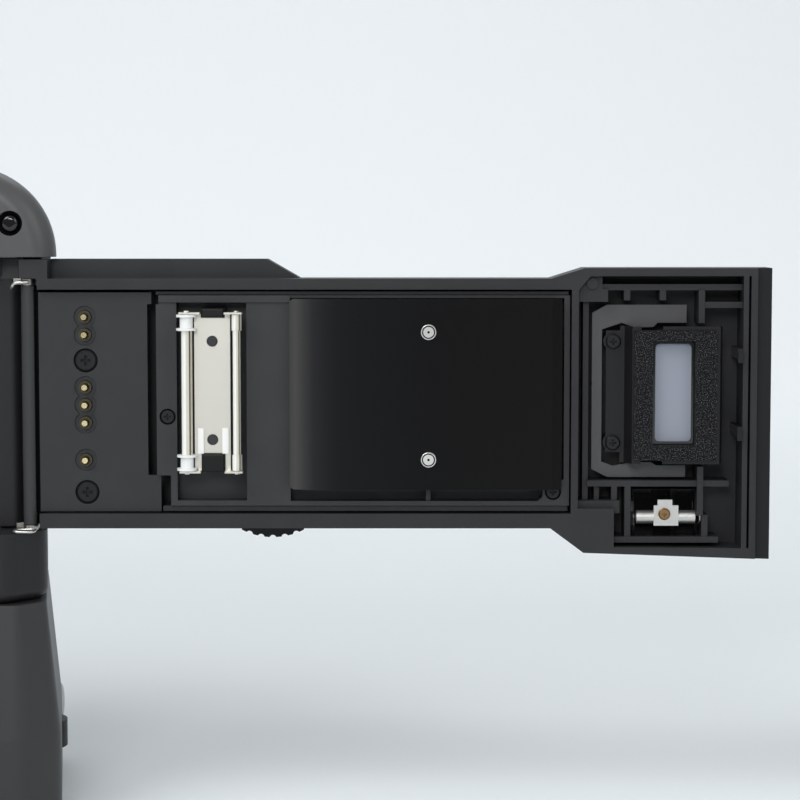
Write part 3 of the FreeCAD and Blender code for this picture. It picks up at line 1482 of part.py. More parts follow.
def make_hood():
    low = "top_low + top_tall - 2"
    face = [
        ("-hood_half", low),
        ("hood_half", low),
        ("hood_half - 3", "top_low + top_tall + 4"),
        ("hood_top_half", "hood_tall"),
        ("-hood_top_half", "hood_tall"),
        ("-hood_half + 3", "top_low + top_tall + 4"),
    ]
    side = [
        ("hood_back + 1.5", low),
        ("hood_front", low),
        ("hood_front", f"{low} - 8"),
        ("front_y + 0.2", f"{low} - 8"),
        ("front_y + 0.2", low),
    ]
    profile = [
        ("hood_back", low),
        ("hood_front + 1", low),
        ("hood_front + 1", "hood_tall - 13"),
        ("hood_front - 12", "hood_tall"),
        ("hood_back + 3", "hood_tall"),
        ("hood_back", "hood_tall - 6"),
    ]
    solid = common(plate("xz", face, "hood_back - 1", "hood_front + 2"), plate("yz", profile, "-50", "50"))
    solid = rounded(
        solid,
        "3",
        lambda c, t: c.z > num("top_low + top_tall + 0.5") and abs(c.x) > 5,
    )
    apron = slab(
        ("-25", "25"),
        ("front_y + 0.2", "hood_front - 1"),
        ("top_low - 4", "top_low + top_tall - 1"),
    )
    apron = rounded(apron, "4", lambda c, t: t == "z" and c.y > num("front_y + 1"))
    cover = slab(("-100", "100"), ("-60", "front_y + 0.1"), ("top_low - 20", "top_low + top_tall + 0.1"))
    solid = fuse(cut(solid, cover), apron)
    face_room = [
        ("-18.2", "top_low - 9"),
        ("18.2", "top_low - 9"),
        ("18.2", "hood_tall - 14"),
        ("6", "hood_tall - 2.4"),
        ("-6", "hood_tall - 2.4"),
        ("-18.2", "hood_tall - 14"),
    ]
    side_room = [
        ("film_y + 7", "top_low - 10"),
        ("hood_front - 3", "top_low - 10"),
        ("hood_front - 3", "hood_tall - 13.4"),
        ("hood_front - 14", "hood_tall - 2.4"),
        ("film_y + 7", "hood_tall - 2.4"),
    ]
    room = [
        common(
            plate("xz", face_room, "film_y + 7", "hood_front"),
            plate("yz", side_room, "-30", "30"),
        ),
        rod("y", ("0", MID_Z), "boss_r + seam", "front_y - 3", "60"),
        slab(("-10", "10"), ("hood_back - 1", "film_y + 9"), (f"{EYE_Z} - 6.5", f"{EYE_Z} + 6.5")),
        slab(("-12.6", "12.6"), ("hood_back - 1", "hood_back + 1.6"), (f"{EYE_Z} - 8", f"{EYE_Z} + 8")),
    ]
    node("prism_hood", cut(solid, *room))
    top = "hood_tall"
    shoe = slab(("-10.9", "10.9"), ("-14", "6"), (top, f"{top} + 3.9"))
    slot = slab(("-9.35", "9.35"), ("-15", "4"), (f"{top} + 0.8", f"{top} + 2.9"))
    gap = slab(("-6.4", "6.4"), ("-15", "4"), (f"{top} + 0.8", f"{top} + 5"))
    node("hot_shoe", cut(shoe, slot, gap))
    glass = slab(
        ("-9.8", "9.8"),
        ("hood_back + 1.7", "hood_back + 4.2"),
        (f"{EYE_Z} - 6.3", f"{EYE_Z} + 6.3"),
    )
    node("eyepiece", rounded(glass, "1", lambda c, t: t == "y"))
    cup = slab(("-17", "17"), ("hood_back - 6", "hood_back"), (f"{EYE_Z} - 8.6", f"{EYE_Z} + 9"))
    foot = slab(
        ("-12.5", "12.5"),
        ("hood_back - 0.1", "hood_back + 1.5"),
        (f"{EYE_Z} - 7.9", f"{EYE_Z} + 7.9"),
    )
    cup = rounded(cup, "5", lambda c, t: t == "y")
    cup = rounded(cup, "1.6", lambda c, t: c.y < num("hood_back - 5.9"))
    sight = slab(("-9.6", "9.6"), ("hood_back - 9", "hood_back + 3"), (f"{EYE_Z} - 6.2", f"{EYE_Z} + 6.2"))
    node("eyecup", cut(fuse(cup, foot), sight))


EYE_Z = "(hood_tall - 11)"


def make_lens_mount():
    centre = ("0", MID_Z)
    low = "flange_y - mount_thick"
    plate_ring = ring("y", centre, "mount_r", "throat_r", low, "flange_y")
    claws = []
    for start in (20, 140, 260):
        span = []
        for angle in (start, start + 17, start + 34, start + 51):
            span.append(
                (
                    f"29 * {math.cos(math.radians(angle)):.9f}",
                    f"{MID_Z} + 29 * {math.sin(math.radians(angle)):.9f}",
                )
            )
        span.append(
            (
                f"24.6 * {math.cos(math.radians(start + 51)):.9f}",
                f"{MID_Z} + 24.6 * {math.sin(math.radians(start + 51)):.9f}",
            )
        )
        span.append(
            (
                f"24.6 * {math.cos(math.radians(start + 25.5)):.9f}",
                f"{MID_Z} + 24.6 * {math.sin(math.radians(start + 25.5)):.9f}",
            )
        )
        span.append(
            (
                f"24.6 * {math.cos(math.radians(start)):.9f}",
                f"{MID_Z} + 24.6 * {math.sin(math.radians(start)):.9f}",
            )
        )
        claws.append(plate("xz", span, low, "flange_y - 0.6"))
    solid = fuse(plate_ring, *claws)
    screws = []
    for angle in (0, 72, 144, 216, 288):
        x = f"29.8 * {math.cos(math.radians(angle + 18)):.9f}"
        z = f"{MID_Z} + 29.8 * {math.sin(math.radians(angle + 18)):.9f}"
        screws.append(rod("y", (x, z), "1.3", "flange_y - 0.25", "flange_y + 1"))
    node("lens_mount", cut(solid, *screws))
    node(
        "lens_release",
        rounded(
            rod("y", LENS_RELEASE, "5", "front_y", "front_y + 8"),
            "1.4",
            lambda c, t: c.y > num("front_y + 7.9"),
        ),
    )


def grip_plan(inset):
    """The grip's outline from above, drawn in by the inset."""
    e = f"({inset})"
    return [
        ("end_x + 0.15", "front_y + 0.15"),
        ("end_x + 0.15", f"grip_back + {e}"),
        (leaning(f"grip_end - 2 - {e}", "grip_back"), f"grip_back + {e}"),
        (leaning(f"grip_end - {e}", "grip_back + 6"), "grip_back + 6"),
        (leaning(f"grip_end - {e}", "28"), "28"),
        (f"78.5 - {e} * 0.8", f"39.5 - {e} * 0.6"),
        ("70", f"grip_front - {e}"),
        (f"60 + {e} * 0.4", f"42 - {e}"),
        (f"50.5 + {e}", f"28 - {e} * 0.5"),
        (f"grip_left + {e}", "front_y + 0.15"),
    ]


def make_grip():
    core = plate("xy", grip_plan("rubber_thick"), BODY_LOW, "top_low - seam")
    core = rounded(core, "4", lambda c, t: t == "z" and c.y > num("front_y + 4"))
    rim = plate("xy", grip_plan("0"), BODY_LOW, "top_low - seam")
    rim = rounded(rim, "5", lambda c, t: t == "z" and c.y > num("front_y + 4"))
    rubber_low = f"{BODY_LOW} + 3"
    rubber_high = "top_low - 7"
    band = slab(("30", "100"), ("-20", "60"), (rubber_low, rubber_high))
    node("grip_rubber", cut(common(rim, band), core_copy()))
    band = slab(("30", "100"), ("-20", "60"), (rubber_low, rubber_high))
    shell = cut(rim_copy(), band)
    room = slab(("58", "78"), ("front_y + 3", "36"), (f"{BODY_LOW} + 3", "top_low - 6"))
    lug = strap_lug("grip_end - 1.2", "end_x + 0.3", "2", "top_low - 4")
    node("grip_shell", cut(fuse(core, shell, lug), room))


def core_copy():
    core = plate("xy", grip_plan("rubber_thick"), f"{BODY_LOW} - 1", "top_low")
    return rounded(core, "4", lambda c, t: t == "z" and c.y > num("front_y + 4"))


def rim_copy():
    rim = plate("xy", grip_plan("0"), BODY_LOW, "top_low - seam")
    return rounded(rim, "5", lambda c, t: t == "z" and c.y > num("front_y + 4"))


def make_top_controls():
    window = slab(
        (f"{LCD_X[0]} + 0.15", f"{LCD_X[1]} - 0.15"),
        (f"{LCD_Y[0]} + 0.15", f"{LCD_Y[1]} - 0.15"),
        ("top_low + top_tall - 1.6", "top_low + top_tall + 0.3"),
    )
    window = rounded(window, "0.8", lambda c, t: c.z > num("top_low + top_tall + 0.2"))
    node("display_window", window)
    low = "(grip_top - 4.6)"
    button = fuse(
        rod("z", RELEASE, "release_r", low, "grip_top - 0.2"),
        common(
            ball((RELEASE[0], RELEASE[1], "grip_top - 3.8"), "release_r + 0.9"),
            rod("z", RELEASE, "release_r", "grip_top - 1", "grip_top + 4"),
        ),
    )
    node("release_button", button)
    y, z = WHEEL
    wheel = [rod("x", (y, z), "5.7", "61", "69"), rod("x", (y, z), "1", "59.3", "70.7")]
    teeth = []
    for step in range(24):
        ty = f"{y} + 6 * {math.cos(math.pi * step / 12):.9f}"
        tz = f"{z} + 6 * {math.sin(math.pi * step / 12):.9f}"
        teeth.append(rod("x", (ty, tz), "0.5", "60", "70"))
    node("finger_wheel", cut(fuse(*wheel), *teeth))
    for name, x in zip(("shoulder_button", "shoulder_button_inner"), SHOULDER_BUTTONS):
        cap = rod("y", (x, SHOULDER_Z), "button_r", "top_back - 0.3", "top_back + 2.6")
        node(name, rounded(cap, "button_r * 0.55", lambda c, t: c.y < num("top_back")))
    for name, x in zip(("mode_button", "drive_button"), LEFT_BUTTONS):
        cap = rod("z", (x, "-2"), "3.7", "top_low + top_tall - 2", "top_low + top_tall + 1")
        node(name, rounded(cap, "0.9", lambda c, t: c.z > num("top_low + top_tall + 0.9")))


# ---- base and booster ----


def base_plan(grow):
    """The base's outline from above, grown outwards."""
    e = f"({grow})"
    turn_y = "base_back + base_corner * 0.6"
    return [
        (f"left_x - {e}", f"base_back + 5 - {e}"),
        (f"left_x + 6 - {e}", f"base_back - {e}"),
        (f"base_end - base_corner * 0.6 + {e}", f"base_back - {e}"),
        (leaning(f"base_end + {e}", turn_y), f"{turn_y} - {e}"),
        (leaning(f"base_end + {e}", "26"), "26"),
        (f"77.5 + {e}", f"37 + {e}"),
        ("70", f"42 + {e}"),
        (f"60 - {e}", f"39 + {e}"),
        (f"50 - {e}", f"26 + {e} * 0.5"),
        (f"43 - {e}", f"front_y + {e}"),
        (f"left_x + 8 - {e}", f"front_y + {e}"),
        (f"left_x - {e}", f"front_y - 8 + {e}"),
    ]


def soft_block(grow, low, high, radius, taper=0):
    """The base's outline with its corners rounded, extruded upwards, and drawn in by the taper's angle."""
    sketch = doc.addObject("Sketcher::SketchObject", "Outline")
    draw(sketch, base_plan(grow))
    bind(sketch, "Placement.Base.z", low)
    source = sketch
    for sign in ("-", ""):
        offset = doc.addObject("Part::Offset2D", "Offset")
        offset.Source = source
        offset.Join = 0
        bind(offset, "Value", f"{sign}({radius})")
        source = offset
    made = doc.addObject("Part::Extrusion", "Block")
    made.Base = source
    made.DirMode = "Custom"
    made.Dir = V(0, 0, 1)
    made.Solid = True
    made.TaperAngle = -taper
    bind(made, "LengthFwd", f"({high}) - ({low})")
    return made


def make_base():
    low = "booster_tall + seam"
    high = "booster_tall + base_tall"
    block = soft_block("-0.2", low, high, "5")
    block = rounded(block, "2.5", lambda c, t: c.z < num(f"{low} + 0.01") and t != "z")
    notch = [
        ("left_x - 10", "70"),
        ("left_x - 10", up("-flare_end_low - 0.5")),
        (across("-flare_start"), up("-flare_low - 0.5")),
        (across("-waist_end + 0.3"), up("-0.5")),
        (across("-waist_end + 0.3"), "70"),
    ]
    notch = plate("xz", notch, "-60", "seat_y + 0.1")
    room = [
        slab(("left_x + 8", "80"), ("seat_y + 4", "front_y - 4"), (f"{low} + 2", f"{high} + 1")),
        slab(("hinge_x - 10.1", "hinge_x + 3"), ("tab_y - 2.9", "tab_y + 0.1"), (up("-0.7"), up("1"))),
        slab(("tab_x - 0.1", "hinge_x + 3"), ("seat_y - 0.3", "tab_y + 0.1"), (up("-0.7"), up("1"))),
        rod("z", ("hinge_x", "hinge_y"), "2.2", up("-0.75"), up("1")),
    ]
    # room for the film back's control dial when it is shut is left behind the base
    node("base_cover", cut(block, notch, *room))


def make_booster():
    solid = fuse(
        soft_block("flare", "0", "waist_tall", "5"),
        soft_block("flare", "waist_tall", "booster_tall", "5", num("flare_angle")),
    )
    solid = rounded(solid, "2", lambda c, t: c.z < 0.01)
    room = [
        slab(TRAY_X, TRAY_Y, TRAY_Z),
        rod("z", ("0", "0"), "socket_bush_r", "-1", "6"),
        rod("x", BOOSTER_RELEASE, "5.3", f"{RELEASE_SEAT} - 9", "120"),
        rod("x", BOOSTER_RELEASE, "6.4", RELEASE_SEAT, "120"),
        rod("z", BOOSTER_WHEEL, "7.5", "6.8", "13.2"),
        rod("y", BOOSTER_SWITCH, "7.2", "-60", "base_back + 2"),
    ]
    node("booster_case", cut(solid, *room))
    bush = ring("z", ("0", "0"), "socket_bush_r", "socket_r", "0", "6")
    node("tripod_bush", bush)


CELL_START = "(left_x + 4.4)"
TRAY_WALL = f"({CELL_START} + cell_long + 2)"
SECOND_START = f"({TRAY_WALL} + 1.6)"
TRAY_TAIL = f"({SECOND_START} + cell_long + 3.6)"
TRAY_X = ("left_x - 20", f"{TRAY_TAIL} + 3.6")
TRAY_Y = ("-15.5", "14")
TRAY_Z = ("booster_floor", "booster_floor + 32")
BOOSTER_RELEASE = ("31", "14")
RELEASE_SEAT = leaning("base_end", "26")
BOOSTER_SWITCH = ("70", "22")
BOOSTER_WHEEL = ("(base_end - 9.3)", "18.4")


def make_booster_pieces():
    y0, y1 = TRAY_Y
    z0, z1 = TRAY_Z
    end = "(left_x - 2.4)"
    wide = (f"{y0} + seam", f"{y1} - seam")
    tall = (f"{z0} + seam", f"{z1} - seam")
    floor = slab((end, f"{TRAY_TAIL} + 1.6"), wide, (tall[0], f"{z0} + 1.5"))
    head = slab((end, "left_x + 4"), wide, tall)
    tail = slab((TRAY_TAIL, f"{TRAY_TAIL} + 1.6"), wide, tall)
    wall = slab((TRAY_WALL, f"{TRAY_WALL} + 1.2"), wide, tall)
    middle_y = f"(({y0}) + ({y1})) / 2"
    knob_z = f"(({z0}) + ({z1})) / 2"
    tray = cut(
        fuse(floor, head, tail, wall),
        rod("x", (middle_y, knob_z), "3 + turn_gap", f"{end} - 1", "left_x + 1.5"),
    )
    node("battery_tray", tray)
    cells = []
    for start in (CELL_START, SECOND_START):
        for side in ("-1", "1"):
            for level in ("0", "1"):
                centre = (
                    f"{middle_y} + {side} * (cell_r + 0.1)",
                    f"{z0} + 1.7 + cell_r + {level} * (2 * cell_r + 0.2)",
                )
                cells.append(rod("x", centre, "cell_r", start, f"{start} + cell_long"))
    node("battery_cells", group(*cells))
    knob = fuse(
        rod("x", (middle_y, knob_z), "9.5", f"{end} - 3", f"{end} - 0.2"),
        slab(
            (f"{end} - 8", f"{end} - 2.9"),
            (f"{middle_y} - 2", f"{middle_y} + 2"),
            (f"{knob_z} - 8.4", f"{knob_z} + 8.4"),
        ),
        rod("x", (middle_y, knob_z), "3", f"{end} - 1", "left_x + 1.3"),
    )
    node("tray_knob", knob)
    node(
        "booster_release",
        rounded(
            rod("x", BOOSTER_RELEASE, "5", f"{RELEASE_SEAT} - 7.8", f"{RELEASE_SEAT} + 1.9"),
            "1.2",
            lambda c, t: c.x > num(f"{RELEASE_SEAT} + 1.8"),
        ),
    )
    wheel = rod("z", BOOSTER_WHEEL, "7", "7", "13")
    node("booster_wheel", wheel)
    turn = rod("y", BOOSTER_SWITCH, "7", "base_back - 3.2", "base_back + 1.8")
    x, z = BOOSTER_SWITCH
    bar = slab(
        (f"{x} - 1", f"{x} + 1"), ("base_back - 5.4", "base_back - 3.1"), (f"{z} - 6", f"{z} + 6")
    )
    node("booster_switch", fuse(turn, bar))


# ---- build, check, write ----

make_door_shell()
make_contact_panel()
make_contacts()
make_inner_panel()
make_door_screws()
make_pressure_plate()
make_film_guide()
make_cartridge_side()
make_outer_controls()
make_chassis()
make_film_path()
make_shutter()
make_mirror_box()
make_casing()
make_latch()
make_hinge()
make_top()
make_hood()
make_lens_mount()
make_grip()
make_top_controls()
make_base()
make_booster()
make_booster_pieces()
doc.recompute()

for thing in doc.Objects:
    if "Invalid" in thing.State or "Error" in thing.State:
        raise RuntimeError(f"{thing.Name} of {thing.Label} is {thing.State}")
os.makedirs("parts", exist_ok=True)
for name, thing in NODES.items():
    if thing.Shape.isNull() or not thing.Shape.isValid() or thing.Shape.Volume <= 0:
        raise RuntimeError(f"{name} has no sound shape")
for name, thing in NODES.items():
    thing.Shape.exportStep(f"parts/{name}.step")
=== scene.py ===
"""Looks of the press camera: materials for its parts, small trim on them, a pale studio stage."""

import math

import bmesh
import bpy
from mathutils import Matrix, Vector


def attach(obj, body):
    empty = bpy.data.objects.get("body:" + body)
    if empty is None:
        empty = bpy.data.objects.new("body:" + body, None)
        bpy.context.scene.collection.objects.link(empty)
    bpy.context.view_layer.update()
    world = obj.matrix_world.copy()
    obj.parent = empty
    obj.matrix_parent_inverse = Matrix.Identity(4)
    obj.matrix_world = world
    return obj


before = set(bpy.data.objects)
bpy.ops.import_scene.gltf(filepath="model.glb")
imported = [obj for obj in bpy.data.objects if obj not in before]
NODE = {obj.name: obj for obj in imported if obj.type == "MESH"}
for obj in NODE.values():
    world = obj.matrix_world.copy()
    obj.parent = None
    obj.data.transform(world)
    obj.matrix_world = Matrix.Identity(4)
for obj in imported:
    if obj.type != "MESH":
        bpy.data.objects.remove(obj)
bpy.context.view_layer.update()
MM = 0.001


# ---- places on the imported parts, in mm ----


def box(node):
    """A part's lower and upper corners, to a hundredth."""
    points = [v.co / MM for v in NODE[node].data.vertices]
    return [[round(pick(p[i] for p in points), 2) for i in range(3)] for pick in (min, max)]


def middle(node):
    """The middle of a part's box, to a hundredth."""
    points = [v.co / MM for v in NODE[node].data.vertices]
    return [round((min(p[i] for p in points) + max(p[i] for p in points)) / 2, 2) for i in range(3)]


# the open film back's zero: its hinge axis, the plane of its rim, its lower edge
BACK = (84, -19.7, 62)
BACK_SKIN = -9.0
WINDOW = box("film_window")
DIAL = middle("control_dial")
SHOULDER = middle("shoulder_button")
PANEL_SCREWS_X = 96
SPRING_SCREW_X = 217.8
RIVET_X = middle("plate_rivets")[0]
RIVET_R = 1.6
RIVET_HEIGHTS = (box("plate_rivets")[0][2] + RIVET_R, box("plate_rivets")[1][2] - RIVET_R)
SEAT = box("body_casing")[0][1]
SPOOL = middle("take_up_spool")
LENS_Z = middle("lens_mount")[2]
MOUNT_FACE = box("lens_mount")[1][1]
FRONT_FACE = 15.5
TOP_FACE = box("top_cover")[1][2]
DISPLAY_FACE = box("display_window")[1][2]
BUTTON_FACE = box("mode_button")[1][2] + 0.01
SHOE_FLOOR = 158.8


# ---- materials ----


def linear(value):
    """One 0-255 display value as scene light."""
    c = value / 255
    return c / 12.92 if c <= 0.04045 else ((c + 0.055) / 1.055) ** 2.4


def shade(*rgb):
    """A 0-255 display colour as scene light, with full cover."""
    return (*[linear(v) for v in rgb], 1)


def material(
    name,
    rgb,
    rough=0.5,
    metal=0.0,
    grain=0.0,
    grain_size=0.4,
    patch=0.0,
    specular=0.5,
    edge=0.0,
    transmission=0.0,
    ior=1.45,
    coat=0.0,
    speckle=None,
    brushed=0.0,
):
    """A surface: its colour and gloss, its grain and softened edge in mm, and how far its tone
    wanders. A speckle is a second colour in fine spots; brushed stretches the grain along Z."""
    m = bpy.data.materials.new(name)
    m.use_nodes = True
    tree = m.node_tree
    nodes = tree.nodes
    links = tree.links
    out = nodes["Principled BSDF"]
    out.inputs["Base Color"].default_value = shade(*rgb)
    out.inputs["Roughness"].default_value = rough
    out.inputs["Metallic"].default_value = metal
    out.inputs["Specular IOR Level"].default_value = specular
    out.inputs["Transmission Weight"].default_value = transmission
    out.inputs["IOR"].default_value = ior
    out.inputs["Coat Weight"].default_value = coat
    place = nodes.new("ShaderNodeTexCoord")
    if patch or speckle:
        base = shade(*rgb)
        if speckle:
            scale, detail, start, end = 1 / (0.24 * MM), 2, 0.53, 0.66
            low, high = base, shade(*speckle)
        else:
            scale, detail, start, end = 120, 4, 0.35, 0.65
            low = (*[c * (1 - patch) for c in base[:3]], 1)
            high = (*[min(1, c * (1 + patch)) for c in base[:3]], 1)
        tone = nodes.new("ShaderNodeTexNoise")
        tone.inputs["Scale"].default_value = scale
        tone.inputs["Detail"].default_value = detail
        links.new(place.outputs["Object"], tone.inputs["Vector"])
        ramp = nodes.new("ShaderNodeValToRGB")
        for stop, position, colour in zip(ramp.color_ramp.elements, (start, end), (low, high)):
            stop.position, stop.color = position, colour
        links.new(tone.outputs["Fac"], ramp.inputs["Fac"])
        links.new(ramp.outputs["Color"], out.inputs["Base Color"])
    normal = None
    if edge:
        soft = nodes.new("ShaderNodeBevel")
        soft.samples = 4
        soft.inputs["Radius"].default_value = edge * MM
        normal = soft.outputs["Normal"]
    if grain:
        noise = nodes.new("ShaderNodeTexNoise")
        noise.inputs["Scale"].default_value = 1 / (grain_size * MM)
        noise.inputs["Detail"].default_value = 3
        vector = place.outputs["Object"]
        if brushed:
            stretch = nodes.new("ShaderNodeMapping")
            stretch.inputs["Scale"].default_value = (1, 1, brushed)
            links.new(vector, stretch.inputs["Vector"])
            vector = stretch.outputs["Vector"]
        links.new(vector, noise.inputs["Vector"])
        bump = nodes.new("ShaderNodeBump")
        bump.inputs["Strength"].default_value = 1
        bump.inputs["Distance"].default_value = grain * MM
        links.new(noise.outputs["Fac"], bump.inputs["Height"])
        if normal:
            links.new(normal, bump.inputs["Normal"])
        normal = bump.outputs["Normal"]
    if normal:
        links.new(normal, out.inputs["Normal"])
    return m


LOOK = {
    "inner": material(
        "inner_moulding", (42, 43, 45), 0.5, grain=0.012, patch=0.07, edge=0.12, specular=0.35
    ),
    "panel": material(
        "panel_moulding", (46, 47, 49), 0.48, grain=0.01, patch=0.05, edge=0.12, specular=0.35
    ),
    "slot": material(
        "tray_moulding", (52, 53, 55), 0.48, grain=0.01, patch=0.05, edge=0.12, specular=0.35
    ),
    "guard": material("guard_sheet", (78, 78, 79), 0.42, grain=0.006, edge=0.1, specular=0.4),
    "end": material(
        "end_band", (31, 32, 34), 0.55, grain=0.03, grain_size=0.3, specular=0.2, edge=0.2
    ),
    "skin": material(
        "satin_shell", (33, 33, 35), 0.42, grain=0.02, grain_size=0.25, edge=0.2, specular=0.35
    ),
    "leather": material(
        "grained_cover", (25, 25, 26), 0.6, grain=0.3, grain_size=0.8, edge=0.2, specular=0.35
    ),
    "cover": material(
        "top_shell", (80, 80, 80), 0.36, grain=0.015, grain_size=0.2, edge=0.25, specular=0.4
    ),
    "base": material(
        "base_shell", (33, 34, 36), 0.42, grain=0.015, grain_size=0.2, edge=0.25, specular=0.35
    ),
    "booster": material(
        "booster_shell", (58, 58, 59), 0.45, grain=0.02, grain_size=0.3, edge=0.25, specular=0.35
    ),
    "cast": material(
        "painted_casting", (34, 34, 36), 0.55, grain=0.03, grain_size=0.3, edge=0.15, specular=0.35
    ),
    "plate": material(
        "pressure_plate", (19, 19, 19), 0.3, grain=0.004, grain_size=0.15, specular=0.15, edge=0.05
    ),
    "barrel": material("hinge_barrel", (56, 57, 58), 0.45, edge=0.1, specular=0.35),
    "washer": material("screw_washer", (34, 35, 37), 0.5, specular=0.2),
    "rivet": material("rivet_metal", (228, 227, 222), 0.28, metal=1),
    "clip": material("clip_black", (17, 17, 18), 0.4, specular=0.3, edge=0.15),
    # painted reflections for the polished rollers: a highlight streak, beige and dark streaks
    "roll_painted_highlight": material("roller_painted_highlight", (252, 251, 245), 0.36, metal=0.3),
    "roll_painted_reflection": material("roller_painted_reflection", (228, 223, 208), 0.34, metal=0.5),
    "roll_painted_dark_reflection": material("roller_painted_dark_reflection", (112, 107, 94), 0.3, metal=0.9),
    "tab": material("tab_bright", (250, 250, 247), 0.45),
    "black": material("black_plastic", (22, 22, 23), 0.5, edge=0.1, specular=0.35),
    # the light seals' own black, and painted shade in grooves, gaps and screw slots
    "seal_black_and_shade": material("black_seal_and_painted_shade", (9, 9, 10), 0.8, specular=0.1),
    "gloss": material("gloss_black", (12, 12, 13), 0.12, coat=0.4, edge=0.15),
    "rubber": material("grip_rubber", (22, 22, 23), 0.7, grain=0.25, grain_size=0.9, edge=0.3),
    "smooth_rubber": material("smooth_rubber", (22, 22, 23), 0.6, grain=0.02, edge=0.2),
    "foam": material(
        "foam", (7, 7, 8), 0.8, grain=0.3, grain_size=0.3, speckle=(82, 83, 86), specular=0.25
    ),
    "dark_metal": material("dark_metal", (38, 38, 40), 0.35, metal=0.5, edge=0.08),
    "steel": material("brushed_steel", (172, 170, 163), 0.3, metal=1, grain=0.004, edge=0.08),
    "wire": material("spring_wire", (216, 215, 211), 0.34, metal=1),
    "brushed": material(
        "brushed_leaf", (214, 213, 209), 0.4, metal=1, grain=0.03, grain_size=0.12, brushed=0.1
    ),
    "nickel": material("nickel", (220, 217, 207), 0.38, metal=1, grain=0.003, edge=0.06),
    "chrome": material("chrome", (205, 205, 205), 0.18, metal=1, edge=0.08),
    "gold": material("gold", (232, 214, 168), 0.2, metal=1),
    # dark gold of the pin bushes, also used as painted shade on the contact pins' sides
    "bush_gold_and_pin_shade": material("bush_gold_and_painted_pin_shade", (74, 68, 52), 0.35, metal=0.7),
    "brass": material("aged_brass", (150, 120, 84), 0.4, metal=1),
    "white": material("white_nylon", (240, 241, 239), 0.4, edge=0.08),
    "ink": material("white_print", (214, 216, 214), 0.6),
    "red": material("red_print", (190, 44, 36), 0.4),
    "lamp": material("red_lens", (96, 16, 14), 0.1, coat=0.6),
    "lcd": material("display_glass", (112, 120, 108), 0.25, coat=0.5),
    "digit": material("display_digit", (22, 26, 22), 0.5),
    # painted light: an opaque grey standing in for the pale backdrop seen through the window's
    # tinted glass
    "window": material("film_window", (151, 156, 168), 0.4, specular=0.2, edge=0.1),
    "optic": material("optical_glass", (225, 232, 235), 0.03, transmission=1, ior=1.5),
    "mirror": material("mirror", (225, 228, 230), 0.02, metal=1),
    "screen": material("focusing_screen", (200, 205, 205), 0.35, transmission=0.8),
    "cell": material("cell_wrap", (96, 78, 52), 0.35, metal=0.6),
}


def graded(look, low, high, stops):
    """Gives a look a colour that changes along X, between two places in mm."""
    tree = LOOK[look].node_tree
    nodes = tree.nodes
    links = tree.links
    place = nodes.new("ShaderNodeTexCoord")
    axes = nodes.new("ShaderNodeSeparateXYZ")
    span = nodes.new("ShaderNodeMapRange")
    ramp = nodes.new("ShaderNodeValToRGB")
    links.new(place.outputs["Object"], axes.inputs["Vector"])
    links.new(axes.outputs["X"], span.inputs["Value"])
    span.inputs["From Min"].default_value = low * MM
    span.inputs["From Max"].default_value = high * MM
    links.new(span.outputs["Result"], ramp.inputs["Fac"])
    ends = ramp.color_ramp.elements
    ends[0].position, ends[0].color = stops[0][0], shade(*stops[0][1])
    ends[1].position, ends[1].color = stops[-1][0], shade(*stops[-1][1])
    for position, rgb in stops[1:-1]:
        ends.new(position).color = shade(*rgb)
    links.new(ramp.outputs["Color"], nodes["Principled BSDF"].inputs["Base Color"])


# painted sheen: the plate is lighter towards the hinge, standing in for its edge catching the light
# from the left; each stop is a share of the way along
PLATE_PAINTED_SHEEN_TONES = [
    (0.0, (62, 61, 60)),
    (0.02, (70, 69, 68)),
    (0.05, (54, 54, 54)),
    (0.083, (36, 36, 37)),
    (0.125, (27, 27, 28)),
    (0.167, (19, 20, 21)),
    (0.25, (15, 16, 17)),
    (0.5, (10, 10, 11)),
    (1.0, (14, 13, 12)),
]
PLATE_START = box("pressure_plate")[0][0]
graded("plate", PLATE_START, PLATE_START + 60, PLATE_PAINTED_SHEEN_TONES)

WEAR = {
    "inner": "door_shell",
    "panel": "contact_panel",
    "slot": "inner_panel",
    "guard": "cartridge_guard",
    "skin": "body_casing latch_slider grip_shell",
    "cover": "top_cover prism_hood",
    "base": "base_cover",
    "booster": "booster_case tray_knob",
    "cast": "chassis",
    "plate": "pressure_plate",
    "black": "latch_catches take_up_spool mirror_box control_dial finger_wheel booster_wheel"
    " booster_switch battery_tray",
    "gloss": "lens_release release_button shoulder_button shoulder_button_inner mode_button"
    " drive_button booster_release display_window",
    "rubber": "grip_rubber",
    "smooth_rubber": "eyecup thumb_rest",
    "foam": "window_foam",
    "bush_gold_and_pin_shade": "pin_bushes",
    "dark_metal": "door_screws cartridge_spring shutter_frame shutter_blades rewind_fork",
    "rivet": "plate_rivets",
    "clip": "roller_clips",
    "steel": "plate_spring film_rails hinge_pin hot_shoe plain_roller tripod_bush",
    "nickel": "roller_bracket",
    "brushed": "end_spring",
    "chrome": "lens_mount",
    "gold": "contact_pins body_contacts",
    "white": "flanged_roller",
    "window": "film_window",
    "optic": "pentaprism eyepiece",
    "mirror": "reflex_mirror",
    "screen": "focusing_screen",
    "cell": "battery_cells",
}


def dress(obj, look):
    """One look for a whole part."""
    obj.data.materials.clear()
    obj.data.materials.append(LOOK[look])


for look, names in WEAR.items():
    for name in names.split():
        dress(NODE[name], look)


def dress_faces(node, look, wanted):
    """A second look for the faces whose centre (mm) and normal are wanted."""
    data = NODE[node].data
    data.materials.append(LOOK[look])
    index = len(data.materials) - 1
    for face in data.polygons:
        if wanted(face.center / MM, face.normal):
            face.material_index = index


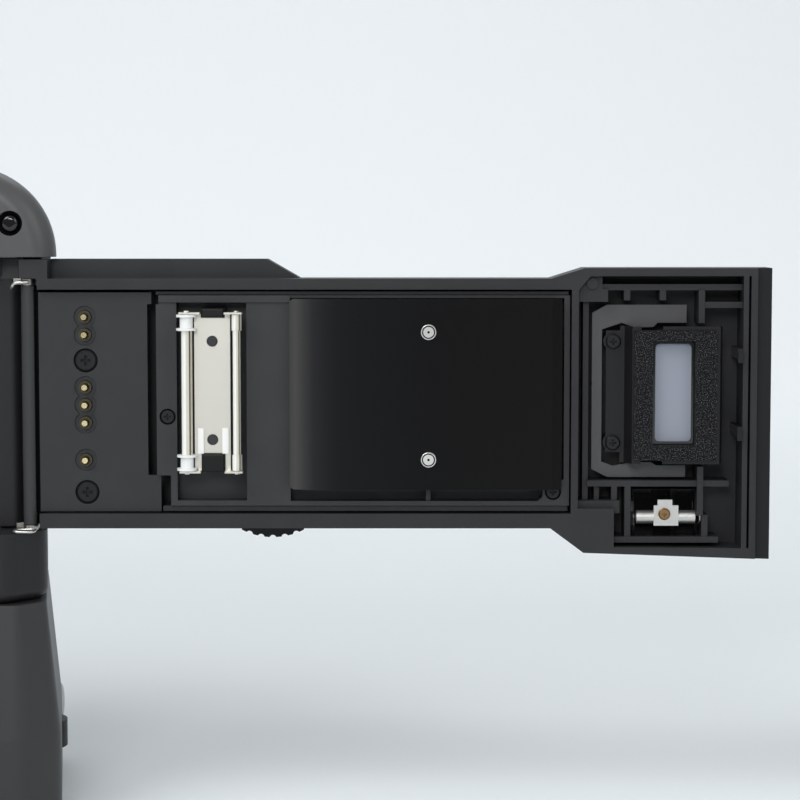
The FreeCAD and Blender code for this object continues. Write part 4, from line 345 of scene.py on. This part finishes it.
# painted shade in the rivets' grooves and dots
dress_faces(
    "plate_rivets",
    "seal_black_and_shade",
    lambda c, n: -21.92 < c.y < -21.0
    and min(math.hypot(c.x - RIVET_X, c.z - z) for z in RIVET_HEIGHTS) < 1.45,
)
# the roller bracket's raised tabs
dress_faces(
    "roller_bracket", "tab", lambda c, n: n.y < -0.9 and -21.9 < c.y < -21.7 and 77 < c.z < 84
)


def paint_roller_reflections(node, low, high):
    """Painted reflections on a polished roller, between two heights: bright and dark streaks set by
    which way each face turns.
    """
    reflection_streaks = (
        ("roll_painted_dark_reflection", -1.01, -0.85),
        ("roll_painted_highlight", -0.85, -0.1),
        ("roll_painted_reflection", -0.1, 0.45),
        ("roll_painted_dark_reflection", 0.45, 0.72),
        ("roll_painted_reflection", 0.72, 1.01),
    )
    for look, start, end in reflection_streaks:
        dress_faces(
            node, look, lambda c, n: low < c.z < high and abs(n.z) < 0.5 and start <= n.x < end
        )


paint_roller_reflections("flanged_roller", 78.1, 103.7)
paint_roller_reflections("plain_roller", 74, 108)


def in_tunnel(c):
    """Whether a place is in the film window's tunnel through the back."""
    (x0, _, z0), (x1, _, z1) = WINDOW
    wall = 0.65
    return x0 - wall < c.x < x1 + wall and z0 - wall < c.z < z1 + wall and c.y < -10


# the film back: painted shade in the slot beside the hinge, the end band, the window's tunnel, the
# outer skin
dress_faces("door_shell", "seal_black_and_shade", lambda c, n: 85.3 < c.x < 86.8 and c.y > -18.2)
dress_faces("door_shell", "end", lambda c, n: c.x > 236.7)
dress_faces("door_shell", "gloss", lambda c, n: in_tunnel(c))
dress_faces("door_shell", "leather", lambda c, n: n.y > 0.9 and c.y > BACK_SKIN - 0.3)
# the washers under the panel's screws, and the screws' heads
dress_faces("door_screws", "washer", lambda c, n: abs(c.x - PANEL_SCREWS_X) < 4)
dress_faces(
    "door_screws",
    "panel",
    lambda c, n: abs(c.x - PANEL_SCREWS_X) < 4 and n.y < -0.9 and c.y < -18,
)
dress_faces("door_shell", "barrel", lambda c, n: 82.3 < c.x < 85.3 and c.z < 113.3 and c.y < -16)
# painted shade in the gap round the shoulder button
dress_faces(
    "top_cover",
    "seal_black_and_shade",
    lambda c, n: -20.8 < c.y < -17 and math.hypot(c.x - SHOULDER[0], c.z - SHOULDER[2]) < 2.7,
)
# painted glint: on the black catches only the faces turned to -X are steel
dress_faces("latch_catches", "steel", lambda c, n: n.x < -0.9)
# painted highlight and shade: only the pins' faces turned straight back stay bright gold, the rest
# take the darker bush gold
dress_faces("contact_pins", "bush_gold_and_pin_shade", lambda c, n: n.y > -0.85)
dress_faces("door_screws", "brass", lambda c, n: abs(c.x - SPRING_SCREW_X) < 2)
dress_faces("body_casing", "leather", lambda c, n: (n.y > 0.6 and c.y > 9) or n.x < -0.5)
dress_faces("display_window", "lcd", lambda c, n: n.z > 0.9)


def mesh_object(name, verts, faces):
    """A mesh from points in metres, in the scene."""
    mesh = bpy.data.meshes.new(name)
    mesh.from_pydata(verts, [], faces)
    mesh.update()
    obj = bpy.data.objects.new(name, mesh)
    bpy.context.scene.collection.objects.link(obj)
    return obj


# ---- small trim ----


def at(u, d, h):
    """A place on the open film back: mm from the hinge, into the shell, above its lower edge."""
    return Vector((BACK[0] + u, BACK[1] + d, BACK[2] + h))


def trim(name, verts, faces, look, body, smooth=False):
    """A piece of trim from points in mm, which moves with a body."""
    obj = mesh_object(name, [Vector(v) * MM for v in verts], faces)
    obj.data.materials.append(LOOK[look])
    for face in obj.data.polygons:
        face.use_smooth = smooth
    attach(obj, body)
    return obj


def block(name, low, high, look, body, soft=0.15):
    """A box between two corners, in mm, with softened edges."""
    low, high = Vector(low), Vector(high)
    made = bmesh.new()
    bmesh.ops.create_cube(made, size=1)
    for v in made.verts:
        v.co = Vector([low[i] + (v.co[i] + 0.5) * (high[i] - low[i]) for i in range(3)])
    soft = min(soft, 0.45 * min(high - low))
    bmesh.ops.bevel(made, geom=made.edges[:], offset=soft, segments=2, affect="EDGES", profile=0.5)
    made.verts.index_update()
    verts = [v.co.copy() for v in made.verts]
    faces = [[v.index for v in f.verts] for f in made.faces]
    made.free()
    return trim(name, verts, faces, look, body)


AXES = {"x": (1, 2, 0), "y": (0, 2, 1), "z": (0, 1, 2)}


def turned(name, axis, centre, profile, look, body, steps=40):
    """A turned form: its profile is (radius, distance along the axis) in mm, end to end."""
    a, b, along = AXES[axis]
    verts = []
    for radius, reach in profile:
        for i in range(steps):
            angle = 2 * math.pi * i / steps
            p = list(centre)
            p[a] += radius * math.cos(angle)
            p[b] += radius * math.sin(angle)
            p[along] += reach
            verts.append(p)
    faces = []
    for j in range(len(profile) - 1):
        for i in range(steps):
            k = (i + 1) % steps
            faces.append((j * steps + i, j * steps + k, (j + 1) * steps + k, (j + 1) * steps + i))
    faces.append(tuple(range(steps)))
    faces.append(tuple((len(profile) - 1) * steps + i for i in range(steps)))
    obj = trim(name, verts, faces, look, body)
    outward(obj)
    return obj


def outward(obj):
    """Turns every face of a closed piece to the outside."""
    made = bmesh.new()
    made.from_mesh(obj.data)
    bmesh.ops.recalc_face_normals(made, faces=made.faces[:])
    made.to_mesh(obj.data)
    made.free()


def wire(name, points, radius, look, body, steps=10, closed=False):
    """A round wire along points in mm."""
    points = [Vector(p) for p in points]
    count = len(points)
    verts = []
    side = None
    for i, p in enumerate(points):
        before = points[i - 1] if i or closed else p
        after = points[(i + 1) % count] if i < count - 1 or closed else p
        way = (after - before).normalized()
        if side is None:
            side = way.orthogonal().normalized()
        side = (side - way * side.dot(way)).normalized()
        other = way.cross(side)
        for k in range(steps):
            angle = 2 * math.pi * k / steps
            verts.append(p + radius * (side * math.cos(angle) + other * math.sin(angle)))
    faces = []
    for i in range(count if closed else count - 1):
        j = (i + 1) % count
        for k in range(steps):
            m = (k + 1) % steps
            faces.append((i * steps + k, i * steps + m, j * steps + m, j * steps + k))
    if not closed:
        faces.append(tuple(range(steps)))
        faces.append(tuple((count - 1) * steps + k for k in range(steps)))
    obj = trim(name, verts, faces, look, body, smooth=True)
    outward(obj)
    return obj


def bend(points, radius, steps=5, closed=False):
    """The points with each corner rounded."""
    points = [Vector(p) for p in points]
    count = len(points)
    made = []
    for i, p in enumerate(points):
        if not closed and i in (0, count - 1):
            made.append(p)
            continue
        back = points[i - 1] - p
        ahead = points[(i + 1) % count] - p
        r = min(radius, 0.45 * back.length, 0.45 * ahead.length)
        start = p + back.normalized() * r
        end = p + ahead.normalized() * r
        for k in range(steps + 1):
            t = k / steps
            made.append(start * (1 - t) ** 2 + p * 2 * t * (1 - t) + end * t**2)
    return made


def plaque(name, outline, level, thick, facing, look, body):
    """A thin flat shape: its outline is two coordinates in mm, on a plane across an axis."""
    a, b, along = AXES[facing[-1]]
    sign = -1 if facing[0] == "-" else 1
    verts = []
    for step in (0, sign * thick):
        for first, second in outline:
            p = [0, 0, 0]
            p[a], p[b], p[along] = first, second, level + step
            verts.append(p)
    n = len(outline)
    faces = [tuple(range(n)), tuple(range(n, 2 * n))]
    faces += [(i, (i + 1) % n, n + (i + 1) % n, n + i) for i in range(n)]
    obj = trim(name, verts, faces, look, body)
    outward(obj)
    return obj


def arc(cx, cy, radius, start, end, steps=16):
    """Points along an arc, between two angles in degrees."""
    return [
        (
            cx + radius * math.cos(math.radians(start + (end - start) * i / steps)),
            cy + radius * math.sin(math.radians(start + (end - start) * i / steps)),
        )
        for i in range(steps + 1)
    ]


def round_rect(x0, y0, x1, y1, r, steps=5):
    """A rectangle's outline with rounded corners."""
    return (
        arc(x1 - r, y0 + r, r, -90, 0, steps)
        + arc(x1 - r, y1 - r, r, 0, 90, steps)
        + arc(x0 + r, y1 - r, r, 90, 180, steps)
        + arc(x0 + r, y0 + r, r, 180, 270, steps)
    )


def frame_plate(name, outer, inner, level, thick, facing, look, body):
    """A flat frame between two outlines with the same number of points."""
    a, b, along = AXES[facing[-1]]
    sign = -1 if facing[0] == "-" else 1
    n = len(outer)
    verts = []
    for step in (0, sign * thick):
        for ring in (outer, inner):
            for first, second in ring:
                p = [0, 0, 0]
                p[a], p[b], p[along] = first, second, level + step
                verts.append(p)
    faces = []
    for i in range(n):
        j = (i + 1) % n
        faces.append((i, j, n + j, n + i))
        faces.append((2 * n + i, 2 * n + j, 3 * n + j, 3 * n + i))
        faces.append((i, j, 2 * n + j, 2 * n + i))
        faces.append((n + i, n + j, 3 * n + j, 3 * n + i))
    obj = trim(name, verts, faces, look, body)
    outward(obj)
    return obj


def screw(name, centre, facing, radius, look, body):
    """A low cross-head screw standing on a face; its cross slot is painted shade, two thin dark
    blocks.
    """
    a, b, along = AXES[facing[-1]]
    sign = -1 if facing[0] == "-" else 1
    rise = radius * 0.28
    profile = [(radius, 0), (radius, sign * rise * 0.5), (radius * 0.8, sign * rise)]
    turned(name, facing[-1], centre, profile, look, body, steps=28)
    for k, (w, t) in enumerate(((0.5, 0.13), (0.13, 0.5))):
        low = list(centre)
        high = list(centre)
        low[a] -= radius * w
        high[a] += radius * w
        low[b] -= radius * t
        high[b] += radius * t
        low[along] += sign * rise * 0.6
        high[along] += sign * (rise + 0.02)
        pair = [(min(p, q), max(p, q)) for p, q in zip(low, high)]
        block(f"{name}_slot{k}", [p[0] for p in pair], [p[1] for p in pair], "seal_black_and_shade", body, 0.01)


def cup():
    """The glossy cup behind the end spring: a thin sheet, arched across the back's height."""
    centre, half, depth, rise, wall = 2.9, 5.1, 2.9, 3.3, 0.35
    steps = 14
    rows = []
    for i in range(steps + 1):
        t = -1 + 2 * i / steps
        arch = rise * math.cos(t * math.pi / 2) ** 0.8 if abs(t) < 1 else 0
        rows.append((centre + half * t, depth + arch))
    n = len(rows)
    verts = [at(u, d + shift, h) for shift in (0, wall) for h, d in rows for u in (127.1, 140.5)]
    faces = []
    for i in range(n - 1):
        a, b = 2 * i, 2 * n + 2 * i
        faces += [(a, a + 1, a + 3, a + 2), (b, b + 1, b + 3, b + 2)]
        faces += [(a, a + 2, b + 2, b), (a + 1, a + 3, b + 3, b + 1)]
    faces += [(0, 1, 2 * n + 1, 2 * n), (2 * n - 2, 2 * n - 1, 4 * n - 1, 4 * n - 2)]
    outward(trim("spring_cup", verts, faces, "gloss", "back_door"))


def round_window(margin, r):
    """An outline round the film window, this far outside it."""
    (x0, _, z0), (x1, _, z1) = WINDOW
    return round_rect(x0 - margin, z0 - margin, x1 + margin, z1 + margin, r)


def back_details():
    """On the film back."""
    cup()
    tail = [at(140.3, 3.4, 3.0), at(141.4, 2.6, 2.8), at(141.5, 3.0, 1.2), at(141.0, 4.4, 0.2)]
    wire("spring_tail", bend(tail, 0.6), 0.28, "steel", "back_door")
    # frame round the film window on the outer skin
    outer = round_rect(213.6, 78.5, 224.9, 102.4, 2.2)
    inner = round_window(0.05, 0.9)
    frame_plate("window_rim", outer, inner, BACK_SKIN, 0.5, "+y", "gloss", "back_door")
    # ring inside the window's tunnel
    outer = round_window(0.6, 1.2)
    inner = round_window(-0.1, 0.9)
    frame_plate("window_bezel", outer, inner, -19.12, 0.25, "-y", "gloss", "back_door")
    # rubber dots on the thumb rest
    pitch = 4
    dot = [(0.9, -0.1), (0.9, 0.15), (0.5, 0.4)]
    for row in range(5):
        for column in range(7):
            centre = (100 + column * pitch, -4.5, 96.5 + row * pitch)
            turned(f"rest_dot_{row}_{column}", "y", centre, dot, "rubber", "back_door", steps=16)


def dial_details():
    """The cap and screw in the middle of the control dial."""
    cx, _, cz = DIAL
    rim = box("control_dial")[1][1]
    cap = [(6.2, 0), (6.2, 0.7), (5.6, 1.0), (3.0, 1.0), (2.6, 0.8)]
    turned("dial_cap", "y", (cx, rim - 1.1, cz), cap, "gloss", "back_door", steps=48)
    screw("dial_screw", (cx, rim - 0.15, cz), "+y", 1.7, "dark_metal", "back_door")


def chamber_details():
    """Inside the body, behind the film back."""
    # contacts that read the film cartridge
    for i in range(6):
        z = 74 + i * 5.2
        block(f"code_contact_{i}", (-54.0, 11.3, z), (-51.6, 11.95, z + 3.2), "gold", "camera", 0.3)
    # light seals on the seat
    back, front = SEAT - 0.22, SEAT + 0.2
    block("seal_low", (-68.5, back, 62.5), (71.5, front, 64.1), "seal_black_and_shade", "camera", 0.1)
    block("seal_high", (-28, back, 112.3), (71.5, front, 113.6), "seal_black_and_shade", "camera", 0.1)
    # film guide pins beside the gate
    pin = [(0.9, 1.4), (0.9, 0.6), (0.5, 0.35)]
    for i, (x, z) in enumerate(((-22, 103.9), (-22, 76.9), (22, 103.9), (22, 76.9))):
        turned(f"guide_pin_{i}", "y", (x, -12.4, z), pin, "steel", "camera", 20)
    for i, (x, z) in enumerate(((-31, 71.5), (31, 71.5), (-31, 109.5), (31, 109.5))):
        screw(f"gate_screw_{i}", (x, -11.0, z), "-y", 1.5, "dark_metal", "camera")
    # take-up spool's sleeves and claws
    sleeve = [(7.5, -1.6), (7.9, -1.4), (7.9, 1.4), (7.5, 1.6)]
    for i, z in enumerate((74, LENS_Z, 106.5)):
        centre = (SPOOL[0], SPOOL[1], z)
        turned(
            f"spool_sleeve_{i}", "z", centre, sleeve, "smooth_rubber", "take_up_spool", steps=48
        )
    for i in range(4):
        angle = math.pi / 2 * i - math.pi / 2
        x = SPOOL[0] + 7.6 * math.cos(angle)
        y = SPOOL[1] + 7.6 * math.sin(angle)
        low, high = (x - 0.7, y - 0.7, 81.5), (x + 0.7, y + 0.7, 84.0)
        block(f"spool_claw_{i}", low, high, "steel", "take_up_spool", 0.3)


# the bars, a to g, that each figure lights
SEGMENTS = {
    "0": "abcdef",
    "1": "bc",
    "2": "abdeg",
    "3": "abcdg",
    "4": "bcfg",
    "5": "acdfg",
    "6": "acdefg",
    "8": "abcdefg",
}


def digits(name, text, x, y, tall, level):
    """Seven-bar figures that read from behind the camera, lying on the top display."""
    wide = tall * 0.55
    bar = tall * 0.11
    places = {
        "a": (0, tall - bar, wide, tall),
        "d": (0, 0, wide, bar),
        "g": (0, tall / 2 - bar / 2, wide, tall / 2 + bar / 2),
        "f": (0, tall / 2, bar, tall),
        "b": (wide - bar, tall / 2, wide, tall),
        "e": (0, 0, bar, tall / 2),
        "c": (wide - bar, 0, wide, tall / 2),
    }
    verts = []
    faces = []
    for i, figure in enumerate(text):
        for part in SEGMENTS.get(figure, ""):
            x0, y0, x1, y1 = places[part]
            x0, x1 = x0 + x + i * wide * 1.45, x1 + x + i * wide * 1.45
            y0, y1 = y0 + y, y1 + y
            gap = bar * 0.2
            n = len(verts)
            x0, x1, y0, y1 = x0 + gap, x1 - gap, y0 + gap, y1 - gap
            low = [(x0, y0), (x1, y0), (x1, y1), (x0, y1)]
            verts += [(p, q, level) for p, q in low] + [(p, q, level + 0.03) for p, q in low]
            faces += [(n, n + 3, n + 2, n + 1), (n + 4, n + 5, n + 6, n + 7)]
            faces += [(n + k, n + (k + 1) % 4, n + 4 + (k + 1) % 4, n + 4 + k) for k in range(4)]
    trim(name, verts, faces, "digit", "camera")


def top_details():
    """The top display's figures, marks on the buttons and the cover, and the shoe's contacts."""
    level = DISPLAY_FACE
    digits("display_speed", "250", 40.5, -2.5, 5.2, level)
    digits("display_stop", "56", 55.5, -2.5, 5.2, level)
    digits("display_count", "24", 58.5, -9.4, 3.8, level)
    for i, reach in enumerate((4, 7, 10)):
        low = -9.4 + i * 1.5
        outline = round_rect(40.5, low, 40.5 + reach, low + 0.8, 0.15, 2)
        plaque(f"display_bar_{i}", outline, level, 0.03, "+z", "digit", "camera")
    # marks on the buttons
    outline = round_rect(-60, -2.4, -56, -1.6, 0.2, 2)
    plaque("mode_mark", outline, BUTTON_FACE, 0.03, "+z", "ink", "camera")
    for i in range(3):
        x, y = -43.8 + i * 0.7, -3.2 + i * 0.6
        outline = round_rect(x, y, x + 2.4, y + 1.6, 0.2, 2)
        plaque(f"drive_mark_{i}", outline, BUTTON_FACE + i * 0.02, 0.02, "+z", "ink", "camera")
    # film plane mark on the cover
    outer, inner = (arc(-34.5, -12, radius, 0, 345, 23) for radius in (1.5, 1.15))
    frame_plate("film_plane_ring", outer, inner, TOP_FACE, 0.03, "+z", "ink", "camera")
    outline = round_rect(-37.2, -12.15, -31.8, -11.85, 0.1, 2)
    plaque("film_plane_line", outline, TOP_FACE, 0.04, "+z", "ink", "camera")
    # contacts in the shoe
    pad = [(1.5, -0.3), (1.5, 0.25), (1.2, 0.35)]
    turned("shoe_centre", "z", (0, -6, SHOE_FLOOR), pad, "gold", "camera", 24)
    pin = [(0.8, -0.3), (0.8, 0.2), (0.6, 0.3)]
    for i, (x, y) in enumerate(((-3.6, -9.6), (3.6, -9.6), (-3.6, -1.2))):
        turned(f"shoe_pin_{i}", "z", (x, y, SHOE_FLOOR), pin, "gold", "camera", 20)
    # ring through the strap lug
    ring = [(-73.6, -1.6, 125.6), (-73.6, 1.6, 125.6), (-77.6, 4.4, 117.5), (-77.6, -4.4, 117.5)]
    wire("strap_ring", bend(ring, 1.4, 4, True), 0.55, "steel", "camera", 8, True)


def front_details():
    """On the lens side."""
    mark = [(0.9, -0.2), (0.9, 0.12), (0.7, 0.2)]
    turned("mount_index", "y", (0, MOUNT_FACE, LENS_Z + 31), mark, "red", "camera", 24)
    mark = [(1.1, -0.2), (1.1, 0.3), (0.7, 0.5)]
    turned("lens_index", "y", (-31.5, FRONT_FACE, 112.5), mark, "white", "camera", 24)
    # contacts in the throat
    outline = arc(0, LENS_Z, 26.6, -122, -58, 20) + arc(0, LENS_Z, 21.6, -58, -122, 20)
    plaque("throat_block", outline, 24.5, 4.6, "+y", "black", "camera")
    pin = [(0.75, -0.3), (0.75, 0.5), (0.35, 0.8)]
    for i in range(8):
        angle = math.radians(-116 + i * 52 / 7)
        centre = (24.1 * math.cos(angle), 29.1, LENS_Z + 24.1 * math.sin(angle))
        turned(f"throat_pin_{i}", "y", centre, pin, "gold", "camera", 20)
    # self-timer lamp
    rim = [(2.9, -0.3), (2.9, 0.7), (2.5, 1.0)]
    turned("timer_rim", "y", (-50, FRONT_FACE, 110.5), rim, "gloss", "camera", 32)
    lens = [(2.0, -0.3), (2.0, 0.3), (1.2, 0.55)]
    turned("timer_lamp", "y", (-50, FRONT_FACE + 0.9, 110.5), lens, "lamp", "camera", 32)
    # screw-in terminal caps, each slot a thin block of painted shade
    collar = [(4.4, -0.3), (4.4, 0.5), (4.1, 0.8)]
    cap = [(3.7, -0.3), (3.7, 1.7), (3.3, 2.1)]
    for i, z in enumerate((98.5, 87.0)):
        x, y = -62.0, FRONT_FACE
        turned(f"terminal_collar_{i}", "y", (x, y, z), collar, "steel", "camera", 40)
        turned(f"terminal_cap_{i}", "y", (x, y + 0.7, z), cap, "black", "camera", 40)
        low, high = (x - 2.4, y + 2.72, z - 0.35), (x + 2.4, y + 2.84, z + 0.35)
        block(f"terminal_slot_{i}", low, high, "seal_black_and_shade", "camera", 0.02)
    # cross slots of the mount ring's screws, as thin blocks of painted shade
    back, front = MOUNT_FACE - 0.3, MOUNT_FACE - 0.2
    for i in range(5):
        angle = math.radians(72 * i + 18)
        x = 29.8 * math.cos(angle)
        z = LENS_Z + 29.8 * math.sin(angle)
        for bar, wide, tall in (("a", 0.8, 0.14), ("b", 0.14, 0.8)):
            low, high = (x - wide, back, z - tall), (x + wide, front, z + tall)
            block(f"mount_slot_{bar}{i}", low, high, "seal_black_and_shade", "camera", 0.02)


def hinge_details():
    """Bent wire clips on the hinge pin, and the body's corner beside the back's upper lug: a block
    in the lighter barrel colour, as painted light where the shoulder's shade falls.
    """
    high = [(84.3, -19.1, 113.75), (82.2, -19.1, 113.7), (81.2, -18.9, 113.4), (80.6, -18.3, 112.4)]
    wire("hinge_clip_high", bend(high, 0.8), 0.36, "wire", "back_door")
    low = [(x, y, 61.62) for x, y in ((81.0, -18.6), (85.3, -18.6), (85.3, -22.6), (81.0, -22.6))]
    wire("hinge_clip_low", bend(low, 1.4, 5, True), 0.3, "wire", "back_door", 10, True)
    block("hinge_corner_painted_light", (70.5, -14.15, 114.2), (81.6, -9.0, 118.7), "barrel", "camera", 0.2)


back_details()
dial_details()
chamber_details()
top_details()
front_details()
hinge_details()


# ---- stage, light and camera ----


def stage_material(name, near, far):
    """Matt paper with painted light: its colour grows lighter from the floor's to the backdrop's.
    """
    m = bpy.data.materials.new(name)
    m.use_nodes = True
    nodes = m.node_tree.nodes
    links = m.node_tree.links
    out = nodes["Principled BSDF"]
    place = nodes.new("ShaderNodeTexCoord")
    axes = nodes.new("ShaderNodeSeparateXYZ")
    ramp = nodes.new("ShaderNodeValToRGB")
    links.new(place.outputs["Object"], axes.inputs["Vector"])
    links.new(axes.outputs["Y"], ramp.inputs["Fac"])
    ramp.color_ramp.elements[0].position = 0.25
    ramp.color_ramp.elements[0].color = shade(*near)
    ramp.color_ramp.elements[1].position = 1.0
    ramp.color_ramp.elements[1].color = shade(*far)
    links.new(ramp.outputs["Color"], out.inputs["Base Color"])
    out.inputs["Roughness"].default_value = 0.95
    out.inputs["Specular IOR Level"].default_value = 0.05
    return m


def sweep_stage():
    """A floor that curves up into a backdrop behind the lens side, in metres."""
    half, near, curve, radius, top, steps = 1.6, -1.4, 0.9, 0.5, 3.0, 12
    drop = 0.0002
    profile = [(near, 0.0)]
    for step in range(steps + 1):
        angle = math.pi / 2 * step / steps
        profile.append((curve + radius * math.sin(angle), radius - radius * math.cos(angle)))
    profile.append((curve + radius, top))
    verts = [(side * half, y, z - drop) for y, z in profile for side in (-1, 1)]
    faces = [(2 * i, 2 * i + 1, 2 * i + 3, 2 * i + 2) for i in range(len(profile) - 1)]
    obj = mesh_object("stage_sweep", verts, faces)
    obj.data.materials.append(stage_material("stage_paper", (224, 229, 231), (249, 253, 255)))
    for face in obj.data.polygons:
        face.use_smooth = True


def lamp(name, place, target, size, power):
    """A square-edged lamp that faces a target; places and sizes in metres, power in watts."""
    data = bpy.data.lights.new(name, "AREA")
    data.shape = "RECTANGLE"
    data.size, data.size_y = size
    data.energy = power
    obj = bpy.data.objects.new(name, data)
    obj.location = place
    obj.rotation_euler = (Vector(target) - Vector(place)).to_track_quat("-Z", "Y").to_euler()
    bpy.context.scene.collection.objects.link(obj)


sweep_stage()
lamp("key", (-0.9, -1.0, 1.5), (0.1, 0, 0.09), (1.2, 1.0), 19)
lamp("fill", (1.3, -1.0, 0.9), (0.1, 0, 0.09), (1.0, 1.0), 6)
lamp("front", (0.0, -1.1, 0.5), (0.12, 0, 0.09), (0.3, 0.3), 3.4)
lamp("back", (0.1, 0.9, 1.6), (0.1, 0, 0.09), (1.4, 0.8), 8)


def studio_world():
    """Soft sky light, dimmer from the viewer's side; a camera ray sees pale paper instead."""
    world = bpy.data.worlds.new("studio")
    world.use_nodes = True
    nodes = world.node_tree.nodes
    links = world.node_tree.links
    sky = nodes["Background"]
    place = nodes.new("ShaderNodeTexCoord")
    axes = nodes.new("ShaderNodeSeparateXYZ")
    ramp = nodes.new("ShaderNodeMapRange")
    links.new(place.outputs["Generated"], axes.inputs["Vector"])
    links.new(axes.outputs["Y"], ramp.inputs["Value"])
    span = {"From Min": -0.9, "From Max": 0.4, "To Min": 0.2, "To Max": 0.52}
    for socket, value in span.items():
        ramp.inputs[socket].default_value = value
    sky.inputs["Color"].default_value = (0.93, 0.96, 1.0, 1)
    links.new(ramp.outputs["Result"], sky.inputs["Strength"])
    paper = nodes.new("ShaderNodeBackground")
    paper.inputs["Color"].default_value = shade(229, 235, 238)
    paper.inputs["Strength"].default_value = 1
    rays = nodes.new("ShaderNodeLightPath")
    blend = nodes.new("ShaderNodeMixShader")
    links.new(rays.outputs["Is Camera Ray"], blend.inputs["Fac"])
    links.new(sky.outputs["Background"], blend.inputs[1])
    links.new(paper.outputs["Background"], blend.inputs[2])
    links.new(blend.outputs["Shader"], nodes["World Output"].inputs["Surface"])
    bpy.context.scene.world = world


studio_world()
bpy.context.scene.view_settings.view_transform = "Standard"

# the photo's view: a little from above, at the open film back
AIM = Vector((0.162, -0.0197, 0.0891))
TILT = math.radians(4.5)
REACH = 0.48
camera_data = bpy.data.cameras.new("camera")
camera_data.sensor_width = 36
camera_data.lens = 103.1
camera = bpy.data.objects.new("camera", camera_data)
camera.location = AIM + Vector((0, -math.cos(TILT), math.sin(TILT))) * REACH
camera.rotation_euler = (AIM - camera.location).to_track_quat("-Z", "Y").to_euler()
bpy.context.scene.collection.objects.link(camera)
bpy.context.scene.camera = camera
